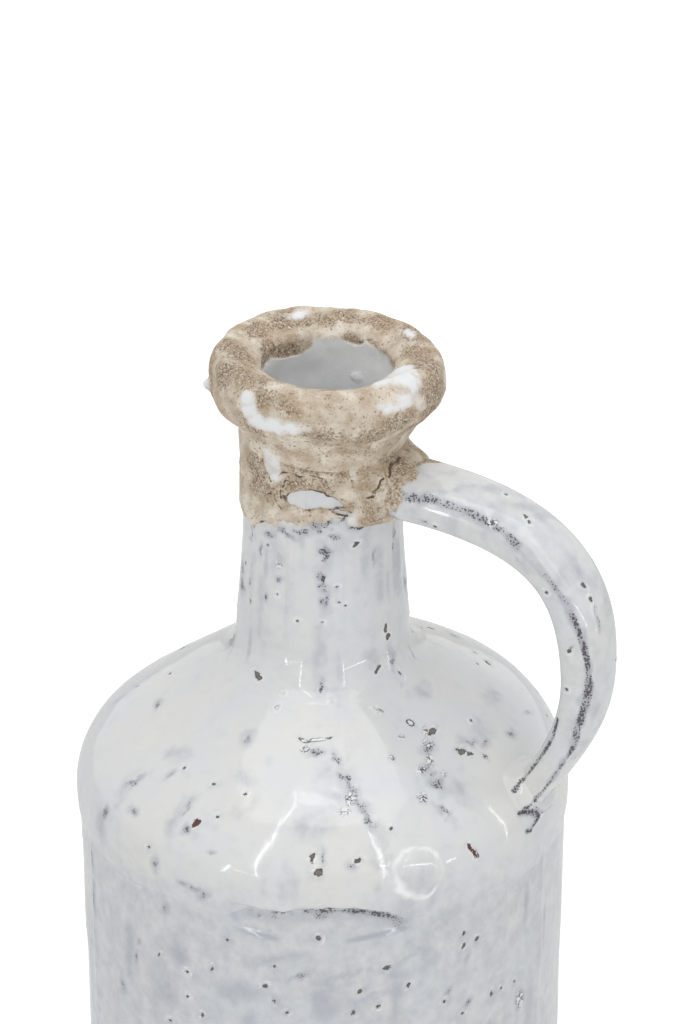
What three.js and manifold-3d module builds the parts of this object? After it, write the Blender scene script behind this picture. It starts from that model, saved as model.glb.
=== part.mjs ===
// A hand-built terracotta bottle vase, glazed white, with a pulled strap handle and a gritty mouth.
// It is made as a potter joins it: a floor slab, a wall, a domed shoulder, a neck and a rolled lip, each
// lapped into the next and luted with slip, a seam coil pressed into the corner of the floor, a handle
// bedded on two wads of clay, and a coat of sandy render round the top of the neck.
// Millimetres, +Z up. The origin is the centre of the flat foot, and the handle stands towards +X.
import * as THREE from "three";
import { mergeVertices } from "three/addons/utils/BufferGeometryUtils.js";
import Module from "manifold-3d";

// Body
const BODY_RADIUS = 100; // outside of the wall, just under the shoulder
const FOOT_TAPER = 1.5; // the foot's radius is smaller by this much
const FOOT_ROUND = 5; // width of the worn edge of the foot
const BODY_HEIGHT = 188; // from the foot to the widest ring of the shoulder
const WALL_THICKNESS = 8;
const WALL_FLATS = 11; // soft flats left by the paddle
const WALL_FLAT_DEPTH = 0.7;
const SLAB_THICKNESS = 9;
const SLAB_STEP = 3; // the slab stands up inside the wall by this much
const SEAM_COIL_LEG = 8; // leg of the coil pressed into the corner of the floor

// Shoulder
const EDGE_OVERHANG = 1.3; // the shoulder's edge stands proud of the wall
const EDGE_DEPTH = 9; // from the widest ring down to the top of the wall
const SHOULDER_SLOPE_DEGREES = 34.8;
const SHOULDER_CORNER_HEIGHT = 16; // from the widest ring up to where the slope would meet its edge
const SHOULDER_ROUND = 20; // width of the rounded edge, in plan
const SHOULDER_THICKNESS = 8;
const SHOULDER_TONGUE_HEIGHT = 8; // the tongue that goes down inside the wall
const SHOULDER_TONGUE_THICKNESS = 5;
const SHOULDER_SWELL = 5.6; // the dome is fuller on one side
const SHOULDER_SWELL_DEGREES = 60;
const SHOULDER_SWELL_SKEW = 0.6; // under 1, the swell is fullest low on the slope

// Neck
const BORE_RADIUS = 26.6;
const NECK_WALL = 5.6; // at the top, under the render
const NECK_WAIST_FLARE = 1.2; // the neck grows by this much half-way down
const NECK_FOOT_FLARE = 2.8; // and by this much just above its fillet on the shoulder
const NECK_TAPER_BELOW_SEAT = 48; // where the flare starts
const NECK_FILLET_WIDTH = 9;
const NECK_FILLET_HEIGHT = 11;
const NECK_LENGTH = 94; // from the top of the shoulder to the seat of the lip
const NECK_TONGUE_WALL = 2.8; // the tongue that goes up inside the lip
const NECK_TONGUE_HEIGHT = 7;

// Lip
const LIP_OVERHANG = 14.2; // the lip's widest ring stands proud of the neck
const LIP_HEIGHT = 30.8;
const LIP_FOOT_OVERHANG = 3.4; // the lip's lower edge stands proud of the neck
const LIP_CREST_INSET = 5.6; // the highest ring of the roll, in from its widest one
const LIP_FUNNEL_DEPTH = 7; // the roll slopes in from its crest to the bore's edge, this far below
const LIP_SAG_DEGREES = 2.2;
const LIP_SAG_SIDE_DEGREES = 75; // measured from the handle, as the other sides are
const LIP_LEAN = 2.6; // the lip stands over to one side
const LIP_LEAN_SIDE_DEGREES = 30;
const LIP_WAVE = 0.7;

// Render round the top of the neck
const RENDER_THICKNESS = 1.3;
const RENDER_DEPTH = 33; // from the lip's seat down to the middle of the ragged edge
const RENDER_SWING = 7; // the edge runs higher on one side of the neck than on the other
const RENDER_HIGH_DEGREES = -62;
const RENDER_GRIT = 0.45; // height of its lumps
const WINDOW_WIDTH = 25; // bare oval where a flake of render has come away
const WINDOW_HEIGHT = 8;
const WINDOW_BELOW_SEAT = 18;
const WINDOW_DEGREES = -67;

// Handle
const HANDLE_OVERHANG = 19; // the strap's middle at its furthest, beyond the shoulder's edge
const HANDLE_ROOT_BELOW_SEAT = 19.8;
const HANDLE_BELLY_BELOW_ROOT = 62; // where it reaches furthest
const HANDLE_TAIL_HEIGHT = 14.9; // where the strap lands, above the shoulder's widest ring
const STRAP_ROOT = { width: 36, thickness: 19.5 };
const STRAP_BELLY = { width: 28, thickness: 19.5 };
const STRAP_TAIL = { width: 17, thickness: 13.5 };
const WAD_SPREAD = 4; // the wads stand out round the strap by this much
const STRAP_BED_DEPTH = 9; // the tail is pushed this far in from the widest ring

// Joints luted with slip
const GAP = 0.3;

const BODY_STEPS = 60;
const NECK_STEPS = 44;
const CURVE_STEPS = 6;
const SLOPE_STEPS = 4;
const STRAP_STEPS = 32;
const STRAP_SIDES = 20;

const radians = THREE.MathUtils.degToRad;
const { clamp, smoothstep, lerp } = THREE.MathUtils;
const slope = radians(SHOULDER_SLOPE_DEGREES);
const footRadius = BODY_RADIUS - FOOT_TAPER;
const wallInside = BODY_RADIUS - WALL_THICKNESS;
const wallFoot = SLAB_THICKNESS + GAP;
const wallTop = BODY_HEIGHT - EDGE_DEPTH;
const floorTop = SLAB_THICKNESS + SLAB_STEP;
const edgeRadius = BODY_RADIUS + EDGE_OVERHANG;
const neckRadius = BORE_RADIUS + NECK_WALL;
const tongueRadius = BORE_RADIUS + NECK_TONGUE_WALL;
const neckFoot = neckRadius + NECK_FOOT_FLARE;
const filletRadius = neckFoot + NECK_FILLET_WIDTH;
const bedRadius = neckRadius + GAP; // inside of everything that lies on the neck
const crownHeight = BODY_HEIGHT + SHOULDER_CORNER_HEIGHT + (edgeRadius - neckRadius) * Math.tan(slope);
const seatHeight = crownHeight + NECK_LENGTH;
const renderFoot = seatHeight - RENDER_DEPTH;
const rootHeight = seatHeight - HANDLE_ROOT_BELOW_SEAT;
const bellyHeight = rootHeight - HANDLE_BELLY_BELOW_ROOT;
const handleReach = edgeRadius + HANDLE_OVERHANG;
const tailHeight = BODY_HEIGHT + HANDLE_TAIL_HEIGHT;

const wasm = await Module();
wasm.setup();

// A point of a turned profile: distance from the axis, and height.
const at = (radius, height) => new THREE.Vector2(radius, height);

// Turns a closed profile about the Z axis, with its faces outwards.
function turned(profile, steps) {
  const area = profile.reduce((sum, p, i) => sum + p.cross(profile[(i + 1) % profile.length]), 0);
  const points = area > 0 ? profile : [...profile].reverse();
  const onAxis = points.findIndex((p, i) => p.x === 0 && points[(i + 1) % points.length].x === 0);
  const ordered = points.map((_, i) => points[(onAxis + 1 + i) % points.length]);
  if (onAxis < 0) ordered.push(ordered[0].clone());
  return new THREE.LatheGeometry(ordered, steps).rotateX(Math.PI / 2);
}

// Moves each vertex by a rule that gets its radius, angle and height, and returns its new radius and height.
function reshaped(geometry, rule) {
  const position = geometry.getAttribute("position");
  for (let i = 0; i < position.count; i++) {
    const x = position.getX(i);
    const y = position.getY(i);
    const radius = Math.hypot(x, y);
    const [newRadius, newHeight] = rule(radius, Math.atan2(y, x), position.getZ(i));
    position.setXYZ(i, (x / radius) * newRadius, (y / radius) * newRadius, newHeight);
  }
  return geometry;
}

// A line of points moved to its right, as it runs.
function offsetLine(line, distance) {
  return line.map((p, i) => {
    const before = line[Math.max(0, i - 1)];
    const after = line[Math.min(line.length - 1, i + 1)];
    const along = after.clone().sub(before).normalize();
    return at(p.x + along.y * distance, p.y - along.x * distance);
  });
}

// A closed geometry as a solid that can be joined and cut, and back.
function solidOf(geometry) {
  const bare = geometry.clone();
  bare.deleteAttribute("normal");
  bare.deleteAttribute("uv");
  const merged = mergeVertices(bare, 1e-4);
  const triVerts = new Uint32Array(merged.index.array);
  const vertProperties = merged.getAttribute("position").array;
  return new wasm.Manifold(new wasm.Mesh({ numProp: 3, vertProperties, triVerts }));
}

function geometryOf(solid) {
  const mesh = solid.getMesh();
  const position = new THREE.BufferAttribute(new Float32Array(mesh.vertProperties), 3);
  const index = new THREE.BufferAttribute(new Uint32Array(mesh.triVerts), 1);
  return new THREE.BufferGeometry().setAttribute("position", position).setIndex(index);
}

const cut = (geometry, ...tools) =>
  geometryOf(tools.reduce((solid, tool) => solid.subtract(solidOf(tool)), solidOf(geometry)));

// Joins rings of points into one closed surface, with a point in the middle of each end.
function loft(rings) {
  const count = rings[0].length;
  const middle = (ring) => ring.reduce((sum, p) => sum.add(p), new THREE.Vector3()).divideScalar(count);
  const points = [...rings.flat(), middle(rings[0]), middle(rings.at(-1))];
  const startCap = rings.length * count;
  const endCap = startCap + 1;
  const last = startCap - count;
  const index = [];
  for (let j = 0; j < count; j++) {
    const next = (j + 1) % count;
    index.push(startCap, next, j);
    index.push(endCap, last + j, last + next);
    for (let ring = 0; ring < last; ring += count) {
      index.push(ring + j, ring + next, ring + count + next);
      index.push(ring + j, ring + count + next, ring + count + j);
    }
  }
  const position = new THREE.Float32BufferAttribute(points.flatMap((p) => p.toArray()), 3);
  return new THREE.BufferGeometry().setAttribute("position", position).setIndex(index);
}

// The floor: a rolled slab with a step that stands up inside the wall.
function floorSlab() {
  const stepRadius = wallInside - GAP;
  const outline = new THREE.Path();
  outline.moveTo(0, 0);
  outline.lineTo(footRadius - FOOT_ROUND, 0);
  outline.quadraticCurveTo(footRadius, 0, footRadius, FOOT_ROUND);
  outline.lineTo(footRadius, SLAB_THICKNESS);
  outline.lineTo(stepRadius, SLAB_THICKNESS);
  outline.lineTo(stepRadius, floorTop);
  outline.lineTo(0, floorTop);
  return turned(outline.getPoints(CURVE_STEPS), BODY_STEPS);
}

// The coil pressed into the corner of floor and wall, its free side dished by a finger.
function floorSeamCoil() {
  const corner = at(wallInside - GAP, floorTop + GAP);
  const dish = SEAM_COIL_LEG * 0.3;
  const outline = new THREE.Path([corner, at(corner.x, corner.y + SEAM_COIL_LEG)]);
  outline.quadraticCurveTo(corner.x - dish, corner.y + dish, corner.x - SEAM_COIL_LEG, corner.y);
  return turned(outline.getPoints(CURVE_STEPS), BODY_STEPS);
}

// The wall: a tube that narrows a little to the foot, paddled into soft flats outside.
function bodyWall() {
  const height = wallTop - wallFoot;
  const profile = [
    at(wallInside, wallFoot),
    at(footRadius, wallFoot),
    at((footRadius + BODY_RADIUS) / 2, wallFoot + height / 3),
    at(BODY_RADIUS, wallFoot + (height * 2) / 3),
    at(BODY_RADIUS, wallTop),
    at(wallInside, wallTop),
  ];
  return reshaped(turned(profile, BODY_STEPS), (radius, angle, z) => {
    const fade = Math.sin((Math.PI * (z - wallFoot)) / height);
    const flat = WALL_FLAT_DEPTH * fade * Math.sin((WALL_FLATS * angle) / 2) ** 2;
    return [radius > wallInside + 1 ? radius - flat : radius, z];
  });
}

// Height of the shoulder's straight slope at a radius.
const slopeHeight = (radius) => crownHeight - (radius - neckRadius) * Math.tan(slope);

// Outside of the shoulder, from the underside of its edge up to a radius near the neck.
function shoulderOutside(topRadius) {
  const roundStart = edgeRadius - SHOULDER_ROUND;
  const line = new THREE.Path();
  line.moveTo(BODY_RADIUS - 1, wallTop + GAP);
  line.quadraticCurveTo(edgeRadius, wallTop + GAP, edgeRadius, BODY_HEIGHT);
  line.quadraticCurveTo(edgeRadius, slopeHeight(edgeRadius), roundStart, slopeHeight(roundStart));
  for (let i = 1; i <= SLOPE_STEPS; i++) {
    const radius = lerp(roundStart, filletRadius, i / SLOPE_STEPS);
    line.lineTo(radius, slopeHeight(radius));
  }
  line.lineTo(topRadius, slopeHeight(topRadius));
  return line.getPoints(CURVE_STEPS);
}

// Underside of the shoulder where the neck goes through it.
const shoulderUnder = (radius) => slopeHeight(radius) - SHOULDER_THICKNESS / Math.cos(slope);

// Lifts the dome on its fuller side.
const swollen = (geometry) =>
  reshaped(geometry, (radius, angle, z) => {
    const share = clamp((BODY_RADIUS - radius) / (BODY_RADIUS - filletRadius), 0, 1);
    const side = Math.max(0, Math.cos(angle - radians(SHOULDER_SWELL_DEGREES)));
    const above = smoothstep(z, BODY_HEIGHT, BODY_HEIGHT + EDGE_DEPTH);
    return [radius, z + SHOULDER_SWELL * side * above * Math.sin(Math.PI * share ** SHOULDER_SWELL_SKEW)];
  });

// The shoulder: a dome of even thickness, with a tongue inside the wall and a mouth for the neck.
function shoulderDome() {
  const outside = shoulderOutside(bedRadius);
  const tongueOutside = wallInside - GAP;
  const tongueInside = tongueOutside - SHOULDER_TONGUE_THICKNESS;
  const tongueFoot = wallTop - SHOULDER_TONGUE_HEIGHT;
  const inside = offsetLine(outside, -SHOULDER_THICKNESS)
    .filter((p) => p.y > BODY_HEIGHT && p.x < tongueInside && p.x > bedRadius + 1)
    .reverse();
  const tongue = [
    at(tongueInside, BODY_HEIGHT),
    at(tongueInside, tongueFoot),
    at(tongueOutside, tongueFoot),
    at(tongueOutside, wallTop + GAP),
  ];
  const under = at(bedRadius, shoulderUnder(bedRadius));
  return swollen(turned([...outside, under, ...inside, ...tongue], BODY_STEPS));
}

// The neck: a tube with a fillet on the shoulder, a taper under the render and a tongue at each end.
function neckTube() {
  const seat = (radius) => slopeHeight(radius) + GAP / Math.cos(slope);
  const filletTop = slopeHeight(neckFoot) + NECK_FILLET_HEIGHT;
  const taperTop = seatHeight - NECK_TAPER_BELOW_SEAT;
  const waist = at(neckRadius + NECK_WAIST_FLARE, (filletTop + taperTop) / 2);
  const outline = new THREE.Path();
  outline.moveTo(BORE_RADIUS, shoulderUnder(neckRadius));
  outline.lineTo(neckRadius, shoulderUnder(neckRadius));
  outline.lineTo(neckRadius, seat(neckRadius));
  outline.lineTo(filletRadius, seat(filletRadius));
  outline.quadraticCurveTo(neckFoot, seat(neckFoot), neckFoot, filletTop);
  outline.bezierCurveTo(waist.x, waist.y, waist.x, waist.y, neckRadius, taperTop);
  outline.lineTo(neckRadius, seatHeight);
  outline.lineTo(tongueRadius, seatHeight);
  outline.lineTo(tongueRadius, seatHeight + NECK_TONGUE_HEIGHT);
  outline.lineTo(BORE_RADIUS, seatHeight + NECK_TONGUE_HEIGHT);
  return turned(outline.getPoints(CURVE_STEPS), NECK_STEPS);
}

// The lip: a thick roll that flares from the neck, sags to one side and waves a little, as it left the hand.
function lipRing() {
  const foot = seatHeight + GAP;
  const top = seatHeight + LIP_HEIGHT;
  const tongueTop = seatHeight + NECK_TONGUE_HEIGHT + GAP;
  const throat = tongueRadius + GAP;
  const footOut = neckRadius + LIP_FOOT_OVERHANG;
  const widest = neckRadius + LIP_OVERHANG;
  const flare = foot + LIP_HEIGHT * 0.3;
  const bulge = foot + LIP_HEIGHT * 0.6;
  const crest = widest - LIP_CREST_INSET;
  const boreEdge = top - LIP_FUNNEL_DEPTH;
  const level = LIP_CREST_INSET / 2;
  const outline = new THREE.Path();
  outline.moveTo(throat, foot);
  outline.lineTo(footOut, foot);
  outline.bezierCurveTo(footOut + 2, (foot + flare) / 2, widest, flare, widest, bulge);
  outline.bezierCurveTo(widest, (bulge + top) / 2, crest + level, top, crest, top);
  outline.bezierCurveTo(crest - level * 2, top, BORE_RADIUS, boreEdge + level, BORE_RADIUS, boreEdge);
  outline.lineTo(BORE_RADIUS, tongueTop);
  outline.lineTo(throat, tongueTop);
  const sag = Math.tan(radians(LIP_SAG_DEGREES));
  return reshaped(turned(outline.getPoints(CURVE_STEPS), NECK_STEPS), (radius, angle, z) => {
    const free = smoothstep(z, tongueTop, bulge);
    const outer = smoothstep(radius, BORE_RADIUS, widest);
    const wave = LIP_WAVE * (Math.sin(2 * angle + 1) + 0.6 * Math.sin(5 * angle));
    const leant = Math.max(free, smoothstep(radius, throat, footOut));
    const lean = LIP_LEAN * Math.cos(angle - radians(LIP_LEAN_SIDE_DEGREES));
    const drop = radius * sag * Math.cos(angle - radians(LIP_SAG_SIDE_DEGREES));
    return [radius + free * wave * outer + leant * lean, z - free * drop];
  });
}

// Middle line of the strap, from the neck over the belly of the loop to the shoulder.
function strapPath() {
  const rise = rootHeight - bellyHeight;
  const tail = at(edgeRadius - STRAP_BED_DEPTH, tailHeight - 5);
  const drop = bellyHeight - tail.y;
  const point = (x, z) => new THREE.Vector3(x, 0, z);
  const belly = point(handleReach, bellyHeight);
  const path = new THREE.CurvePath();
  path.add(
    new THREE.CubicBezierCurve3(
      point(neckRadius - 2, rootHeight),
      point(handleReach * 0.74, rootHeight),
      point(handleReach, bellyHeight + rise * 0.82),
      belly,
    ),
  );
  path.add(
    new THREE.CubicBezierCurve3(
      belly,
      point(handleReach, bellyHeight - drop * 0.38),
      point(tail.x + STRAP_BED_DEPTH * 1.5, tail.y + drop * 0.36),
      point(tail.x, tail.y),
    ),
  );
  return path;
}

// Width and thickness of the strap at a share of its length: widest at its root and pulled thin at its tail.
function strapSize(share) {
  const upper = smoothstep(share, 0, 0.5);
  const lower = smoothstep(share, 0.5, 1);
  const blend = (key) => lerp(lerp(STRAP_ROOT[key], STRAP_BELLY[key], upper), STRAP_TAIL[key], lower);
  return { width: blend("width"), thickness: blend("thickness") };
}

// The strap, grown on all sides by a clearance where it is used to cut its bed.
function strap(clearance = 0) {
  const path = strapPath();
  const rings = [];
  for (let i = 0; i <= STRAP_STEPS; i++) {
    const share = i / STRAP_STEPS;
    const centre = path.getPointAt(share);
    const along = path.getTangentAt(share);
    const outwards = new THREE.Vector3(-along.z, 0, along.x);
    const size = strapSize(share);
    const ring = [];
    for (let j = 0; j < STRAP_SIDES; j++) {
      const angle = (j / STRAP_SIDES) * 2 * Math.PI;
      const across = Math.sign(Math.cos(angle)) * Math.abs(Math.cos(angle)) ** 0.75;
      const out = Math.sign(Math.sin(angle)) * Math.abs(Math.sin(angle)) ** 0.75;
      const point = centre.clone().addScaledVector(outwards, out * (size.thickness / 2 + clearance));
      point.y += across * (size.width / 2 + clearance);
      ring.push(point);
    }
    rings.push(ring);
  }
  return loft(rings);
}

// What the handle is bedded against: the neck, and the shoulder, each filled in and grown by the gap.
function neckCore() {
  const outside = [at(bedRadius, crownHeight), at(bedRadius, seatHeight)];
  return turned([at(0, crownHeight), ...outside, at(0, seatHeight)], NECK_STEPS);
}

function shoulderCore() {
  const outside = offsetLine(shoulderOutside(neckRadius), GAP);
  return swollen(turned([at(0, outside[0].y), ...outside, at(0, outside.at(-1).y)], BODY_STEPS));
}

// A wad of clay: an ellipsoid with its three half sizes, leaning as what it is pressed against does.
function wad(centre, halfSizes, leanDegrees) {
  const ball = new THREE.SphereGeometry(1, 24, 14).scale(...halfSizes);
  return ball.rotateY(radians(leanDegrees)).translate(...centre);
}

function rootWad(clearance = 0) {
  const spread = WAD_SPREAD + clearance;
  const across = STRAP_ROOT.width / 2 + spread;
  const upright = STRAP_ROOT.thickness / 2 + spread + 1;
  return wad([neckRadius + 1, 0, rootHeight], [WAD_SPREAD * 2.5 + clearance, across, upright], 0);
}

function tailWad() {
  const across = STRAP_TAIL.width / 2 + WAD_SPREAD;
  const alongSlope = STRAP_TAIL.thickness / 2 + WAD_SPREAD + 3;
  return wad([edgeRadius - STRAP_BED_DEPTH + 2, 0, tailHeight], [alongSlope, across, WAD_SPREAD + 2], 52);
}

// The render: a thin gritty sleeve, ragged below, cut round the handle and with a flake missing.
function neckRender() {
  const rows = 9;
  const depth = seatHeight - renderFoot;
  const outside = [];
  for (let i = 0; i <= rows; i++) {
    const feather = i === 0 ? 0.5 : 1;
    outside.push(at(bedRadius + RENDER_THICKNESS * feather, renderFoot + (depth * i) / rows));
  }
  const sleeve = turned([at(bedRadius, renderFoot), ...outside, at(bedRadius, seatHeight)], NECK_STEPS);
  reshaped(sleeve, (radius, angle, z) => {
    const down = (seatHeight - z) / depth;
    const swing = RENDER_SWING * Math.cos(angle - radians(RENDER_HIGH_DEGREES));
    const ragged = swing + 1.2 * Math.sin(7 * angle) + 0.9 * Math.sin(12 * angle + 2);
    const grit = RENDER_GRIT * Math.sin(9 * angle + z * 0.7) * Math.sin(z * 0.9 - 5 * angle);
    return [radius > bedRadius + 0.1 ? radius + grit : radius, z + ragged * down];
  });
  const flake = new THREE.CylinderGeometry(WINDOW_WIDTH / 2, WINDOW_WIDTH / 2, bedRadius, 20);
  flake.scale(1, 1, WINDOW_HEIGHT / WINDOW_WIDTH).translate(0, -bedRadius, 0);
  flake.rotateZ(radians(WINDOW_DEGREES + 90)).translate(0, 0, seatHeight - WINDOW_BELOW_SEAT);
  return cut(sleeve, rootWad(GAP), strap(GAP), flake);
}

const glaze = new THREE.MeshStandardMaterial({ color: 0xdfe0e2, roughness: 0.12, metalness: 0 });
const clay = new THREE.MeshStandardMaterial({ color: 0xb9795a, roughness: 0.9, metalness: 0 });
const grit = new THREE.MeshStandardMaterial({ color: 0xcdb99f, roughness: 0.95, metalness: 0 });

const vase = new THREE.Group();
function add(name, geometry, material) {
  const mesh = new THREE.Mesh(geometry, material);
  mesh.name = name;
  vase.add(mesh);
}

add("floor_slab", floorSlab(), clay);
add("floor_seam_coil", floorSeamCoil(), clay);
add("body_wall", bodyWall(), glaze);
add("shoulder_dome", shoulderDome(), glaze);
add("neck_tube", neckTube(), glaze);
add("lip_ring", lipRing(), grit);
add("neck_render", neckRender(), grit);
add("handle_strap", cut(strap(), neckCore(), shoulderCore()), glaze);
add("handle_root_wad", cut(rootWad(), neckCore(), strap(GAP)), grit);
add("handle_tail_wad", cut(tailWad(), shoulderCore(), strap(GAP)), glaze);

export default vase;
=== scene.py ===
import itertools
import math
import random

import bmesh
import bpy
import numpy as np
from mathutils import Matrix, Vector


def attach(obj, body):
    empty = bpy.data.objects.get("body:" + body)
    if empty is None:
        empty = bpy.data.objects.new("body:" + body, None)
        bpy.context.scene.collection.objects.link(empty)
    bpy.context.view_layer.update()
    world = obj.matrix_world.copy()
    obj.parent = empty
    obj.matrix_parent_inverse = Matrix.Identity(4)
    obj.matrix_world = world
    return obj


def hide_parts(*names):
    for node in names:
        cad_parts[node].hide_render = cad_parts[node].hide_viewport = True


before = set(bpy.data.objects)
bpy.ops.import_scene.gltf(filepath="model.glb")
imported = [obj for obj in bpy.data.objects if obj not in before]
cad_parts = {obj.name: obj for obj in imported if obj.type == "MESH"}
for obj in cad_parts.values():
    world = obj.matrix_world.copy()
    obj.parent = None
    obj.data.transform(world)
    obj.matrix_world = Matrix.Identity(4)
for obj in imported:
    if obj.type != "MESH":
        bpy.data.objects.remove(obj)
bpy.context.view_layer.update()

# The floor of the vase: a rolled slab of red earthenware, cut off its board with a wire.
# It is bare underneath, where the kiln shelf would have caught the glaze, and its edge is worn round.
MM = 0.001
FOOT_RADIUS = 98.5
FOOT_ROUND = 5
SLAB_TOP = 9
STEP_RADIUS = 91.7
STEP_TOP = 12
SLAB_STEPS = 216
WIRE_SPACING = 3.4
WIRE_DEPTH = 0.22
WIRE_CENTRE = (150, -60)


def run_along(line):
    """How far along a line each of its points is."""
    return np.concatenate([[0], np.cumsum(np.linalg.norm(np.diff(line, axis=0), axis=1))])


def outline(start, *legs):
    """Evenly spaced (radius, height) points in mm along joined legs, without the very last one.

    A leg is its spacing and its points: the last is its end, and any before that bend it as a curve."""
    parts = []
    for spacing, *ahead in legs:
        degree = len(ahead)
        if degree == 1:
            count = max(1, round(math.dist(start, ahead[0]) / spacing))
            share = np.arange(count)[:, None] / count
            parts.append(np.array(start) * (1 - share) + np.array(ahead[0]) * share)
        else:
            share = np.linspace(0, 1, 200)[:, None]
            line = sum(
                math.comb(degree, i) * share**i * (1 - share) ** (degree - i) * np.array(anchor, float)
                for i, anchor in enumerate([start, *ahead])
            )
            run = run_along(line)
            count = max(1, round(run[-1] / spacing))
            wanted = np.arange(count) * run[-1] / count
            parts.append(np.stack([np.interp(wanted, run, axis) for axis in line.T], axis=1))
        start = ahead[-1]
    return np.concatenate(parts)


def piece_of(name, shape):
    """Makes an object of a bmesh, with smooth faces."""
    mesh = bpy.data.meshes.new(name)
    for face in shape.faces:
        face.smooth = True
    shape.to_mesh(mesh)
    shape.free()
    piece = bpy.data.objects.new(name, mesh)
    bpy.context.scene.collection.objects.link(piece)
    return piece


def turned(name, profile, steps):
    """A piece turned from a profile of (radius, height) points in mm, which closes or meets the axis."""
    shape = bmesh.new()
    points = [shape.verts.new((radius, 0, height)) for radius, height in profile]
    edges = [shape.edges.new(pair) for pair in itertools.pairwise(points)]
    if profile[0][0] > 0:
        edges.append(shape.edges.new((points[-1], points[0])))
    # One eighth is spun, and doubled three times, because a full spin of a fine profile is slow.
    eighth = math.pi / 4
    bmesh.ops.spin(
        shape, geom=points + edges, cent=(0, 0, 0), axis=(0, 0, 1), dvec=(0, 0, 0),
        angle=eighth, steps=steps // 8, use_merge=False, use_duplicate=False,
    )
    for turn in (1, 2, 4):
        whole = shape.verts[:] + shape.edges[:] + shape.faces[:]
        copied = bmesh.ops.duplicate(shape, geom=whole)["geom"]
        moved = [part for part in copied if isinstance(part, bmesh.types.BMVert)]
        rotation = Matrix.Rotation(eighth * turn, 3, "Z")
        bmesh.ops.rotate(shape, cent=(0, 0, 0), matrix=rotation, verts=moved)
    bmesh.ops.remove_doubles(shape, verts=shape.verts[:], dist=0.001)
    bmesh.ops.recalc_face_normals(shape, faces=shape.faces[:])
    return piece_of(name, shape)


def surface_of(piece):
    """A piece's points and outward directions, as arrays."""
    points = np.empty(len(piece.data.vertices) * 3, np.float32)
    outward = np.empty_like(points)
    piece.data.vertices.foreach_get("co", points)
    piece.data.vertices.foreach_get("normal", outward)
    return points.reshape(-1, 3).astype(float), outward.reshape(-1, 3).astype(float)


def settle(piece, points, material, slot, node_name, thickness=0, **fields):
    """Gives a piece its points (mm) and fields, thickens a sheet, and hands it to the frame in metres."""
    piece.data.vertices.foreach_set("co", points.astype(np.float32).ravel())
    for name, values in fields.items():
        layer = piece.data.attributes.new(name, "FLOAT", "POINT")
        layer.data.foreach_set("value", np.asarray(values, np.float32))
    if thickness:
        sheet = bmesh.new()
        sheet.from_mesh(piece.data)
        bmesh.ops.recalc_face_normals(sheet, faces=sheet.faces[:])
        bmesh.ops.solidify(sheet, geom=sheet.faces[:], thickness=thickness)
        bmesh.ops.recalc_face_normals(sheet, faces=sheet.faces[:])
        sheet.to_mesh(piece.data)
        sheet.free()
    piece.data.transform(Matrix.Scale(MM, 4))
    piece.data.update()
    piece.data.materials.append(material)
    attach(piece, "root")
    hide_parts(node_name)


def lumps(points, size, seed):
    """Smooth random lumps of a size in mm, from -1 to 1, the same at the same place on every piece."""
    scaled = points / size + seed * 7.31
    cell = np.floor(scaled).astype(np.int64)
    part = scaled - cell
    ease = part**3 * (part * (part * 6 - 15) + 10)
    total = np.zeros(len(points))
    for corner in itertools.product((0, 1), repeat=3):
        weight = np.prod(np.where(corner, ease, 1 - ease), axis=1)
        mixed = (cell + corner) @ np.array([73856093, 19349663, 83492791]) & 0xFFFFFFFF
        mixed = ((mixed ^ (mixed >> 15)) * 2246822519) & 0xFFFFFFFF
        mixed = ((mixed ^ (mixed >> 13)) * 3266489917) & 0xFFFFFFFF
        total += weight * (((mixed ^ (mixed >> 16)) & 0xFFFF) / 32767.5 - 1)
    return total


def smooth(value, low, high):
    """0 below one limit, 1 above the other, eased between them."""
    share = np.clip((value - low) / (high - low), 0, 1)
    return share * share * (3 - 2 * share)


def linear(colour):
    """A linear colour from an sRGB hex one."""
    parts = [int(colour[i : i + 2], 16) / 255 for i in (1, 3, 5)]
    return (*[p / 12.92 if p <= 0.04045 else ((p + 0.055) / 1.055) ** 2.4 for p in parts], 1)


def feed(tree, target, inputs):
    """Sets a node's inputs: each takes a value, a hex colour, a socket, or another node's main output."""
    for key, value in inputs.items():
        if isinstance(value, bpy.types.Node):
            value = value.outputs[2 if value.bl_idname == "ShaderNodeMix" else 0]
        if isinstance(value, bpy.types.NodeSocket):
            tree.links.new(value, target.inputs[key])
        else:
            target.inputs[key].default_value = linear(value) if isinstance(value, str) else value


def node(tree, kind, inputs=(), **settings):
    """Adds a shader node with its settings and its inputs."""
    made = tree.nodes.new("ShaderNode" + kind)
    for key, value in settings.items():
        setattr(made, key, value)
    feed(tree, made, dict(inputs))
    return made


def new_material(name):
    """A material with its node tree, its surface shader and its object coordinates."""
    material = bpy.data.materials.new(name)
    material.use_nodes = True
    tree = material.node_tree
    place = node(tree, "TexCoord").outputs["Object"]
    return material, tree, tree.nodes["Principled BSDF"], place


# Red earthenware, unglazed and once-fired: dull, dusty, with sand and pale lime grains in it.
terracotta, tree, shader, place = new_material("unglazed_red_earthenware")
cloud = node(tree, "TexNoise", {"Vector": place, "Scale": 1 / (18 * MM), "Detail": 5.0})
grain = node(tree, "TexNoise", {"Vector": place, "Scale": 1 / (0.9 * MM), "Detail": 3.0})
clay = node(tree, "Mix", {0: cloud, 6: "#9A5A3E", 7: "#C08663"}, data_type="RGBA")
lime = node(tree, "MapRange", {"Value": grain, "From Min": 0.62, "From Max": 0.7})
speckled = node(tree, "Mix", {0: lime, 6: clay, 7: "#DDC3A6"}, data_type="RGBA")
pitted = node(tree, "Bump", {"Height": grain, "Distance": 0.25 * MM, "Strength": 0.8})
feed(tree, shader, {"Base Color": speckled, "Roughness": 0.9, "Normal": pitted})

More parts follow.
